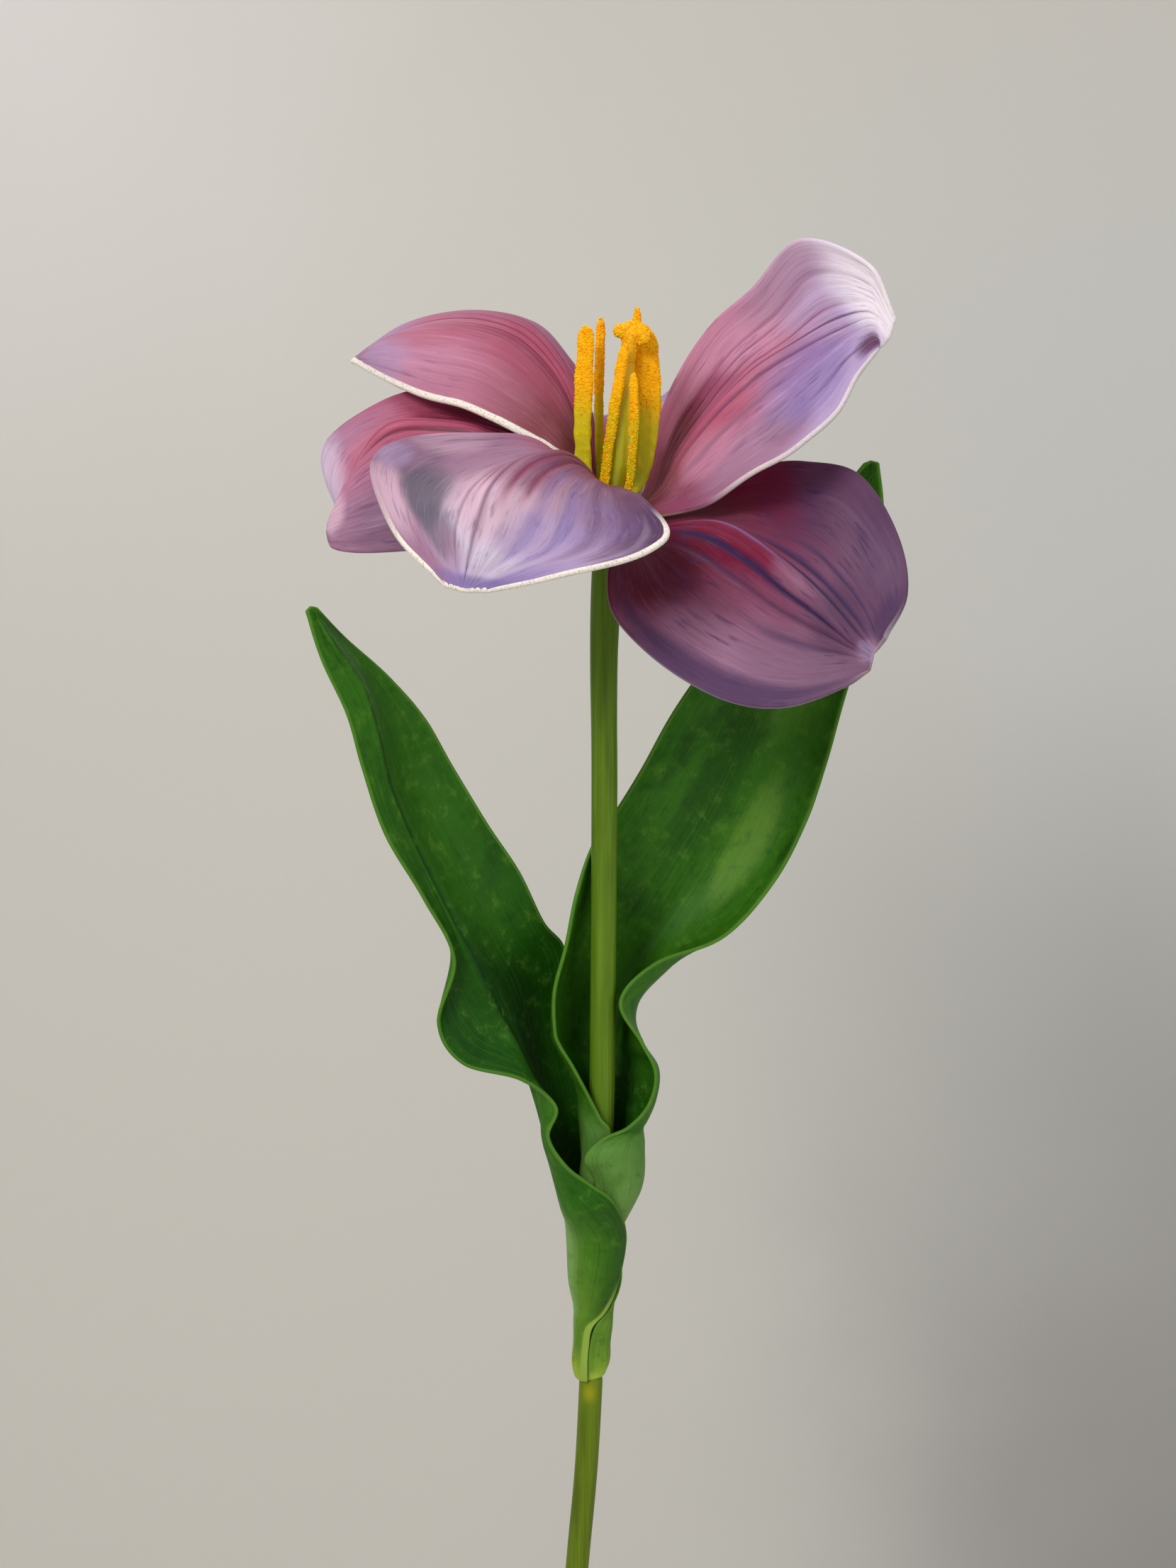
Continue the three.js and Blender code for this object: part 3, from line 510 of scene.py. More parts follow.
# Each petal: where it stands round the head and how far below the top; its colours from root to tip
# along the rib and at the left and right margin as one looks at its inside, and how light they are; the
# pale rims as [where they begin, strength] at the left and right margin, and their width; how strong
# the dark grain and the pale bloom are; soft patches as [colour, across, along, half sizes, strength];
# grooves as [colour, across, half width, strength, from, to].
petals = {
    "petal_upper_right": {
        "bearing": 25,
        "drop": 0,
        "seed": 3,
        "rib": "umber russet rose blush lilac mist",
        "left": "umber rose blush pink mist mist",
        "right": "wine berry mauve lilac lilac mist",
        "tone": 0.92,
        "rims": [[0.9, 0.35], [0.3, 0.6]],
        "rimWidth": 0.35,
        "grain": 1,
        "bloom": 0.2,
        # the pearl patch near the tip of the left half is a painted highlight where that upper margin turns
        # up to the light; the umber patches near the root are the darker root colour with painted shade in
        # the hollow there
        "patches": [
            ["umber", 0.3, 0.13, 0.22, 0.16, 0.8], ["berry", 0.3, 0.38, 0.14, 0.16, 0.7],
            ["umber", 0.25, 0.31, 0.1, 0.08, 0.8], ["wine", 0.25, 0.39, 0.08, 0.06, 0.5],
            ["mauve", 0.8, 0.42, 0.16, 0.16, 0.8], ["dusk", 0.78, 0.5, 0.12, 0.08, 0.5],
            ["pink", 0.64, 0.3, 0.1, 0.1, 0.5], ["pink", 0.27, 0.54, 0.1, 0.08, 0.9],
            ["violet", 0.68, 0.62, 0.2, 0.15, 0.7], ["lilac", 0.3, 0.74, 0.2, 0.1, 0.5],
            ["pearl", 0.24, 0.92, 0.4, 0.13, 0.95], ["plum", 0.82, 0.86, 0.12, 0.08, 1],
            ["mauve", 0.12, 0.68, 0.12, 0.1, 0.6],
        ],
        "grooves": [
            ["wine", 0.2, 0.014, 0.5, 0.2, 0.75], ["wine", 0.26, 0.014, 0.7, 0.15, 0.65],
            ["claret", 0.32, 0.016, 0.7, 0.15, 0.6], ["wine", 0.38, 0.014, 0.9, 0.2, 0.8],
            ["plum", 0.45, 0.012, 1, 0.3, 0.9], ["plum", 0.52, 0.014, 0.8, 0.3, 0.82],
            ["dusk", 0.6, 0.014, 0.7, 0.2, 0.6], ["plum", 0.78, 0.02, 0.7, 0.65, 0.92],
        ],
        "stations": [
            [[0.04, 0.12, 0.09], [0.08, 0.05, 0.075], [0.13, -0.03, 0.02], [0.015, 0.015]],
            [[0.065, 0.2, 0.225], [0.135, 0.09, 0.165], [0.22, -0.11, 0.055], [0.025, 0.025]],
            [[0.12, 0.28, 0.365], [0.225, 0.13, 0.28], [0.34, -0.15, 0.145], [0.04, 0.04]],
            [[0.22, 0.32, 0.52], [0.345, 0.16, 0.39], [0.455, -0.135, 0.205], [0.04, 0.04]],
            [[0.34, 0.305, 0.63], [0.465, 0.17, 0.465], [0.56, -0.055, 0.295], [0.04, 0.025]],
            [[0.475, 0.265, 0.77], [0.575, 0.185, 0.52], [0.625, 0.04, 0.395], [0.025, 0.015]],
            [[0.665, 0.205, 0.7], [0.67, 0.185, 0.55], [0.68, 0.12, 0.45], [0.015, 0.005]],
            [[0.74, 0.17, 0.55], [0.72, 0.16, 0.495], [0.69, 0.145, 0.465], [0, 0]],
        ],
    },
    "petal_upper_left": {
        "bearing": 150,
        "drop": 0,
        "seed": 5,
        "rib": "burgundy wine rose rose blush lilac",
        "left": "umber russet russet blush pink mauve",
        "right": "burgundy wine berry mauve mauve lilac",
        "tone": 0.82,
        "rims": [[0.12, 1], [0.92, 0.4]],
        "rimWidth": 0.9,
        "grain": 0.6,
        "bloom": 0.16,
        # the umber patch at the root is the darker root colour with a painted shadow over it
        "patches": [
            ["lilac", 0.14, 0.86, 0.16, 0.08, 0.5], ["pearl", 0.5, 1, 0.5, 0.015, 0.8],
            ["umber", 0.3, 0.12, 0.4, 0.16, 0.7], ["rose", 0.34, 0.5, 0.1, 0.2, 0.5],
            ["rose", 0.32, 0.77, 0.12, 0.1, 0.4], ["wine", 0.47, 0.38, 0.05, 0.3, 0.4],
        ],
        "grooves": [
            ["wine", 0.4, 0.012, 0.5, 0.2, 0.7], ["wine", 0.46, 0.014, 0.9, 0.2, 0.88],
            ["claret", 0.51, 0.016, 0.8, 0.15, 0.92], ["wine", 0.56, 0.012, 1, 0.2, 0.88],
            ["wine", 0.62, 0.014, 0.8, 0.25, 0.8], ["plum", 0.7, 0.014, 0.7, 0.3, 0.75],
            ["plum", 0.8, 0.014, 0.5, 0.3, 0.75],
        ],
        "stations": [
            [[-0.06, -0.035, 0.135], [-0.015, 0.045, 0.135], [0.01, 0.125, 0.15], [-0.015, -0.015]],
            [[-0.135, -0.075, 0.2], [-0.055, 0.1, 0.29], [-0.01, 0.22, 0.315], [-0.025, -0.015]],
            [[-0.23, -0.085, 0.25], [-0.12, 0.165, 0.405], [-0.065, 0.34, 0.42], [-0.04, -0.025]],
            [[-0.345, -0.045, 0.3], [-0.225, 0.235, 0.495], [-0.155, 0.46, 0.495], [-0.055, -0.04]],
            [[-0.47, 0.035, 0.33], [-0.375, 0.285, 0.53], [-0.3, 0.525, 0.515], [-0.055, -0.04]],
            [[-0.595, 0.155, 0.38], [-0.535, 0.315, 0.505], [-0.485, 0.475, 0.51], [-0.04, -0.025]],
            [[-0.69, 0.3, 0.425], [-0.675, 0.325, 0.435], [-0.665, 0.365, 0.44], [0, 0]],
        ],
    },
    "petal_front": {
        "bearing": 262,
        "drop": 0,
        "seed": 7,
        "rib": "wine russet mauve shell mist lilac",
        "left": "burgundy wine dusk dusk lilac violet",
        "right": "wine rose mauve dusk mauve mauve",
        "tone": 0.84,
        "rims": [[0.52, 1], [0.84, 1]],
        "rimWidth": 0.6,
        "grain": 0.9,
        "bloom": 0.16,
        # the slate patches are painted shade in the hollow of the right half, and the plum and indigo patches
        # at the left margin are painted shade on that edge
        "patches": [
            ["mauve", 0.86, 0.5, 0.2, 0.12, 0.6], ["shell", 0.92, 0.77, 0.1, 0.1, 0.8],
            ["shadeSlate", 0.88, 0.57, 0.08, 0.08, 0.25], ["shell", 0.95, 0.46, 0.1, 0.08, 0.4],
            ["shadeSlate", 0.77, 0.67, 0.1, 0.12, 0.85], ["shadeSlate", 0.68, 0.79, 0.08, 0.09, 0.75],
            ["shell", 0.5, 0.65, 0.1, 0.12, 0.6], ["mauve", 0.62, 0.84, 0.08, 0.08, 0.5],
            ["mist", 0.38, 0.86, 0.12, 0.1, 0.8], ["lilac", 0.32, 0.7, 0.12, 0.12, 0.8],
            ["violet", 0.5, 0.97, 0.4, 0.05, 0.8], ["plum", 0.02, 0.56, 0.12, 0.22, 1],
            ["indigo", 0.02, 0.6, 0.1, 0.14, 0.45], ["lilac", 0.95, 0.62, 0.06, 0.06, 0.5],
            ["violet", 0.2, 0.56, 0.12, 0.14, 0.35], ["russet", 0.4, 0.26, 0.22, 0.1, 0.8],
            ["berry", 0.5, 0.44, 0.14, 0.1, 0.5],
        ],
        "grooves": [
            ["plum", 0.6, 0.012, 0.5, 0.3, 0.9], ["wine", 0.555, 0.014, 0.7, 0.2, 0.6],
            ["plum", 0.51, 0.014, 0.8, 0.3, 0.95], ["wine", 0.46, 0.016, 0.8, 0.2, 0.62],
            ["wine", 0.41, 0.014, 0.8, 0.2, 0.58], ["violet", 0.36, 0.024, 0.5, 0.35, 0.9],
            ["violet", 0.28, 0.024, 0.5, 0.4, 0.9], ["plum", 0.2, 0.02, 0.4, 0.3, 0.8],
            ["plum", 0.12, 0.02, 0.4, 0.3, 0.7],
        ],
        "stations": [
            [[0.015, -0.095, 0.09], [-0.04, -0.095, 0.12], [-0.09, -0.03, 0.13], [0.015, 0.015]],
            [[0.065, -0.255, 0.095], [-0.12, -0.23, 0.2], [-0.22, -0.07, 0.23], [0.025, 0.025]],
            [[0.11, -0.415, 0.07], [-0.225, -0.375, 0.19], [-0.395, -0.19, 0.25], [0.04, 0.04]],
            [[0.155, -0.52, 0.015], [-0.3, -0.51, 0.125], [-0.56, -0.32, 0.235], [0.04, 0.04]],
            [[0.1, -0.6, -0.03], [-0.335, -0.6, 0.03], [-0.62, -0.44, 0.175], [0.04, 0.025]],
            [[-0.11, -0.67, -0.08], [-0.355, -0.655, -0.05], [-0.555, -0.56, 0.02], [0.015, 0.015]],
            [[-0.305, -0.68, -0.12], [-0.37, -0.68, -0.12], [-0.42, -0.655, -0.11], [0, 0]],
        ],
    },
    "petal_back": {
        "bearing": 88,
        "drop": 3,
        "seed": 11,
        "rib": "burgundy wine rose blush lilac mist",
        "left": "wine mauve mauve lilac lilac mist",
        "right": "wine mauve mauve lilac lilac mist",
        "tone": 0.85,
        "rims": [[0.6, 0.6], [0.6, 0.6]],
        "rimWidth": 0.4,
        "grain": 0.6,
        "bloom": 0.2,
        "patches": [["violet", 0.25, 0.7, 0.15, 0.12, 0.5], ["pink", 0.6, 0.6, 0.12, 0.2, 0.5]],
        "grooves": [
            ["wine", 0.44, 0.014, 0.5, 0.2, 0.85], ["rose", 0.5, 0.018, 0.5, 0.2, 0.8],
            ["wine", 0.56, 0.014, 0.5, 0.2, 0.85],
        ],
        "stations": [
            [[-0.055, 0.11, 0.11], [0.01, 0.12, 0.08], [0.085, 0.11, 0.11], [0.015, 0.015]],
            [[-0.13, 0.23, 0.245], [0.01, 0.27, 0.175], [0.125, 0.23, 0.235], [0.04, 0.04]],
            [[-0.2, 0.39, 0.33], [0.01, 0.43, 0.255], [0.17, 0.375, 0.34], [0.055, 0.055]],
            [[-0.245, 0.56, 0.375], [0.015, 0.59, 0.29], [0.2, 0.535, 0.38], [0.055, 0.055]],
            [[-0.205, 0.72, 0.375], [0.015, 0.75, 0.29], [0.18, 0.71, 0.365], [0.04, 0.04]],
            [[-0.1, 0.855, 0.32], [0.015, 0.87, 0.275], [0.12, 0.855, 0.31], [0.015, 0.015]],
            [[-0.015, 0.91, 0.25], [0.01, 0.91, 0.245], [0.04, 0.91, 0.25], [0, 0]],
        ],
    },
    "petal_far_left": {
        "bearing": 205,
        "drop": 3,
        "seed": 13,
        "rib": "burgundy claret claret rose blush lilac",
        "left": "burgundy wine wine dusk mauve dusk",
        "right": "burgundy claret claret rose mauve mist",
        "tone": 0.95,
        "rims": [[0.9, 0.3], [0.9, 0.3]],
        "rimWidth": 0.3,
        "grain": 1.1,
        "bloom": 0.16,
        # the dusk patch is painted shade on the left, near half beside the front petal's edge, the shell
        # patch is a painted highlight on the tip's hook, and the mist patch near the tip of the right, far
        # half is painted light where light falls from above
        "patches": [
            ["rose", 0.5, 0.55, 0.1, 0.22, 0.6], ["claret", 0.66, 0.42, 0.14, 0.2, 0.7],
            ["shell", 0.22, 0.83, 0.12, 0.06, 0.8], ["dusk", 0.12, 0.62, 0.14, 0.12, 0.8],
            ["mist", 0.85, 0.88, 0.3, 0.1, 0.5],
        ],
        "grooves": [
            ["burgundy", 0.38, 0.014, 0.5, 0.2, 0.75], ["burgundy", 0.44, 0.016, 0.8, 0.2, 0.75],
            ["wine", 0.5, 0.014, 0.8, 0.25, 0.8], ["burgundy", 0.57, 0.016, 0.9, 0.2, 0.7],
            ["burgundy", 0.66, 0.016, 0.8, 0.25, 0.6], ["wine", 0.76, 0.016, 0.6, 0.25, 0.6],
        ],
        "stations": [
            [[-0.065, -0.025, 0.05], [-0.06, 0.015, 0.085], [-0.06, 0.05, 0.075], [0, 0]],
            [[-0.16, -0.08, 0.045], [-0.17, 0.01, 0.195], [-0.125, 0.12, 0.235], [-0.025, -0.015]],
            [[-0.275, -0.16, 0.01], [-0.3, -0.005, 0.285], [-0.255, 0.18, 0.32], [-0.055, 0.015]],
            [[-0.395, -0.225, -0.015], [-0.43, -0.025, 0.31], [-0.405, 0.225, 0.38], [-0.065, 0.035]],
            [[-0.52, -0.265, -0.025], [-0.545, -0.065, 0.305], [-0.55, 0.205, 0.37], [-0.055, 0.035]],
            [[-0.635, -0.24, -0.03], [-0.625, -0.105, 0.22], [-0.695, 0.08, 0.29], [-0.04, 0]],
            [[-0.7, -0.2, -0.015], [-0.66, -0.13, 0.115], [-0.735, 0, 0.205], [-0.025, -0.015]],
            [[-0.68, -0.16, 0.03], [-0.67, -0.145, 0.045], [-0.68, -0.12, 0.06], [0, 0]],
        ],
    },
    "petal_lower_right": {
        "bearing": 322,
        "drop": 3,
        "seed": 17,
        "rib": "burgundy claret claret berry dusk mauve",
        "left": "claret claret wine plum dusk plum",
        "right": "burgundy burgundy berry mauve dusk dusk",
        "tone": 0.82,
        "rims": [[0.95, 0.2], [0.95, 0.2]],
        "rimWidth": 0.3,
        "grain": 1.5,
        "bloom": 0.05,
        "patches": [
            ["claret", 0.14, 0.32, 0.16, 0.2, 0.8], ["claret", 0.5, 0.4, 0.1, 0.22, 0.95],
            ["burgundy", 0.78, 0.28, 0.24, 0.15, 1], ["mauve", 0.84, 0.52, 0.1, 0.1, 0.5],
            ["mauve", 0.51, 0.63, 0.06, 0.06, 0.4], ["dusk", 0.78, 0.69, 0.12, 0.1, 0.5],
            ["berry", 0.31, 0.42, 0.08, 0.1, 0.45], ["plum", 0.25, 0.78, 0.08, 0.08, 0.35],
            ["plum", 0.16, 0.91, 0.12, 0.08, 0.5], ["indigo", 0.08, 0.78, 0.14, 0.12, 0.4],
            ["plum", 0.46, 0.84, 0.26, 0.12, 0.85], ["indigo", 0.12, 0.94, 0.2, 0.08, 0.6],
            ["lilac", 0.58, 0.97, 0.2, 0.05, 0.6], ["indigo", 0.95, 0.6, 0.07, 0.24, 0.8],
        ],
        "grooves": [
            ["indigo", 0.28, 0.014, 0.7, 0.6, 0.95], ["indigo", 0.36, 0.022, 1, 0.5, 0.94],
            ["rose", 0.4, 0.018, 0.8, 0.15, 0.6], ["indigo", 0.435, 0.02, 1.4, 0.3, 0.95],
            ["violet", 0.48, 0.014, 1, 0.2, 0.6], ["wine", 0.52, 0.018, 0.8, 0.15, 0.55],
            ["indigo", 0.56, 0.014, 1.2, 0.25, 0.9], ["plum", 0.62, 0.014, 0.8, 0.3, 0.85],
            ["indigo", 0.7, 0.02, 0.6, 0.6, 0.92],
        ],
        "stations": [
            [[0.12, 0.115, 0.05], [0.07, -0.055, 0.02], [-0.035, -0.105, -0.03], [0.015, 0.015]],
            [[0.245, 0.165, 0.115], [0.15, -0.105, 0.04], [-0.065, -0.2, -0.095], [0.04, 0.04]],
            [[0.375, 0.195, 0.18], [0.24, -0.16, 0.04], [-0.045, -0.28, -0.2], [0.065, 0.065]],
            [[0.5, 0.175, 0.19], [0.33, -0.225, -0.005], [0.07, -0.36, -0.305], [0.08, 0.08]],
            [[0.64, 0.135, 0.16], [0.42, -0.295, -0.08], [0.23, -0.415, -0.395], [0.08, 0.065]],
            [[0.74, 0.04, 0.005], [0.5, -0.36, -0.15], [0.405, -0.44, -0.415], [0.055, 0.04]],
            [[0.755, -0.12, -0.145], [0.57, -0.4, -0.225], [0.555, -0.425, -0.365], [0.025, 0.015]],
            [[0.675, -0.335, -0.245], [0.635, -0.4, -0.28], [0.625, -0.4, -0.325], [0, 0]],
        ],
    },
}


def petalRelief(look):
    shape = petalShape

    def relief(u, v, margin):
        fromRib = u - 0.5
        ribs = np.cos(2 * math.pi * fromRib / shape["ribPitch"])
        ribs *= np.exp(-((fromRib / shape["ribSpread"]) ** 2)) * np.sin(math.pi * np.clip(v, 0, 1)) ** 0.5
        cut = 0 * u
        for _, middle, half, _, start, end in look["grooves"]:
            fade = np.clip((v - start + 0.1) * 6, 0, 1) * np.clip((end + 0.06 - v) * 8, 0, 1)
            cut = cut + np.exp(-(((u - middle) / half) ** 2)) * fade
        waves = ripple(u, v, look["seed"], 7, 14, 1.2)
        frill = ripple(u, v, look["seed"] + 1, 6, 0.6, 6) * np.exp(-margin / 5) * np.clip(v * 3, 0, 1)
        deep = shape["ribDepth"] * ribs + shape["rippleDepth"] * waves * 0.5 - shape["grooveDepth"] * cut
        return np.clip(v * 6, 0, 1) * deep + shape["frillDepth"] * frill

    return relief


petalStops = (0.02, 0.16, 0.36, 0.58, 0.8, 0.97)  # where the six colours of a ramp stand
matte = {"Specular IOR Level": 0.12}


def petalMaterial(name, look):
    paint = Paint(name + "Skin")
    u, v, seed = paint.across(), paint.along(), float(look["seed"])
    margin, edge, inner = paint.attribute("margin"), paint.attribute("edge"), paint.attribute("inner")
    cloud = paint.noise(paint.vector(u * 5, v * 5, seed), detail=4, roughness=0.6)
    broad = paint.noise(paint.vector(u * 24, v * 2, seed), detail=3, roughness=0.55)
    fine = paint.noise(paint.vector(u * 150, v * 9, seed), detail=3, roughness=0.6)
    dashes = paint.noise(paint.vector(u * 60, v * 12, seed + 3), detail=2, roughness=0.5)
    speckle = paint.noise(paint.place(), scale=2600, detail=2)
    across = u + (cloud - 0.5) * 0.05
    fromRib = abs(across - 0.5) * 2
    along = v + (broad - 0.5) * 0.07 + (cloud - 0.5) * 0.14
    ragged = (cloud - 0.5) * 1.6 + (broad - 0.5) * 0.8
    rib, left, right = (paint.blend(along, tint, petalStops, look[part]) for part in ("rib", "left", "right"))
    sideShare = (fromRib + (broad - 0.5) * 0.2 + (cloud - 0.5) * 0.3).rise(0.06, 0.75)
    colour = paint.mix(rib, paint.mix(left, right, u.rise(0.42, 0.58)), sideShare)
    colour = paint.addPatches(colour, tint, look["patches"], across, v, ragged)
    for word, middle, half, strength, start, end in look["grooves"]:
        line = (u + (cloud - 0.5) * 0.012).bump(middle, half * 1.5)
        fade = v.rise(start - 0.1, start + 0.08) * v.rise(end + 0.06, end - 0.12)
        colour = paint.mix(colour, tint[word], (line * fade * (broad + 0.45) * strength).least(1))
    colour = paint.mix(colour, tint["mist"], broad.rise(0.54, 0.8) * look["bloom"] * v.rise(0.15, 0.5))
    colour = paint.mix(colour, tint["plum"], broad.rise(0.48, 0.24) * 0.3)
    grain = look["grain"]
    streaks = dashes.rise(0.54, 0.72) * cloud.rise(0.38, 0.6)
    colour = paint.mix(colour, tint["indigo"], streaks * 0.4 * grain)
    colour = paint.mix(colour, tint["plum"], fine.rise(0.5, 0.78) * 0.4 * grain)
    colour = paint.mix(colour, tint["mist"], fine.rise(0.46, 0.24) * look["bloom"])
    colour = paint.mix(colour, (look["tone"],) * 3 + (1,), 1.0, "MULTIPLY")
    outside = paint.mix(colour, tint["mist"], 0.3)
    outside = paint.mix(outside, tint["moss"], v.rise(0.3, 0.0) * 0.8)
    colour = paint.mix(outside, colour, inner.rise(0.35, 0.75))
    (leftStart, leftPale), (rightStart, rightPale) = look["rims"]
    leftRim = v.rise(leftStart - 0.08, leftStart + 0.06) * u.rise(0.52, 0.48) * leftPale
    rightRim = v.rise(rightStart - 0.08, rightStart + 0.06) * u.rise(0.48, 0.52) * rightPale
    wide = look["rimWidth"]
    rim = (margin + (dashes - 0.5) * 0.5).rise(wide + 0.12, wide - 0.12)
    rim = rim.most(edge.rise(0.25, 0.55)) * (leftRim + rightRim)
    colour = paint.mix(colour, tint["cream"], rim)
    colour = paint.mix(colour, tint["dusk"], rim * speckle.rise(0.54, 0.66) * 0.45)
    height = broad * 0.4 + fine * 0.2 + dashes * 0.2
    return paint.finish(colour, 0.5 + fine * 0.16, height, 0.1 * mm, matte)


headCentre = stemAt(stemLength)[0]

for name, look in petals.items():
    bearing = math.radians(look["bearing"])
    root = headCentre + towards(bearing) * petalShape["rootRadius"] - np.array([0, 0, look["drop"]])
    claw = towards(bearing - math.pi / 2) * petalShape["clawWidth"] / 2
    stations = [(root - claw, root, root + claw, np.zeros(2))]
    stations += tableStations(look["stations"], root, petalShape["length"])
    shape = dict(petalShape, relief=petalRelief(look))
    piece = bladeObject(name + "_blade", stations, shape, petalMaterial(name, look))
    settle(piece, name.replace("petal_", "") + "_petal", "petal", name)
print("petals made")


leafShape = {
    "length": 125,
    "sheathLength": 34,
    "sheathFlare": 2.9,
    "sheathRadius": 2.85 + 0.5 + 0.45,
    "rows": 330,
    "columns": 73,
    "thickness": 0.75,
    "rim": 0.8,
    "rimReach": 1.2,
    "rimRows": 7,
    "mostInset": 0.2,
    "footReach": 3,
    "footShare": 0.45,
    "veinDepth": 0.035,
    "veins": 34,
    "creaseDepth": 0.35,
    "frillDepth": 0.2,
}

leafTint = {
    "deep": (12, 48, 8),
    "leaf": (25, 76, 8),
    "fresh": (50, 104, 18),
    "lime": (104, 148, 48),
    "edge": (92, 138, 44),
    "foot": (166, 190, 64),
    "roll": (146, 172, 72),
    "sheath": (94, 134, 38),
    "flap": (104, 146, 70),
    # pale colour of the painted highlight on the sheath's lit left flank
    "flankHighlight": (126, 166, 92),
    "shade": (5, 20, 2),
}

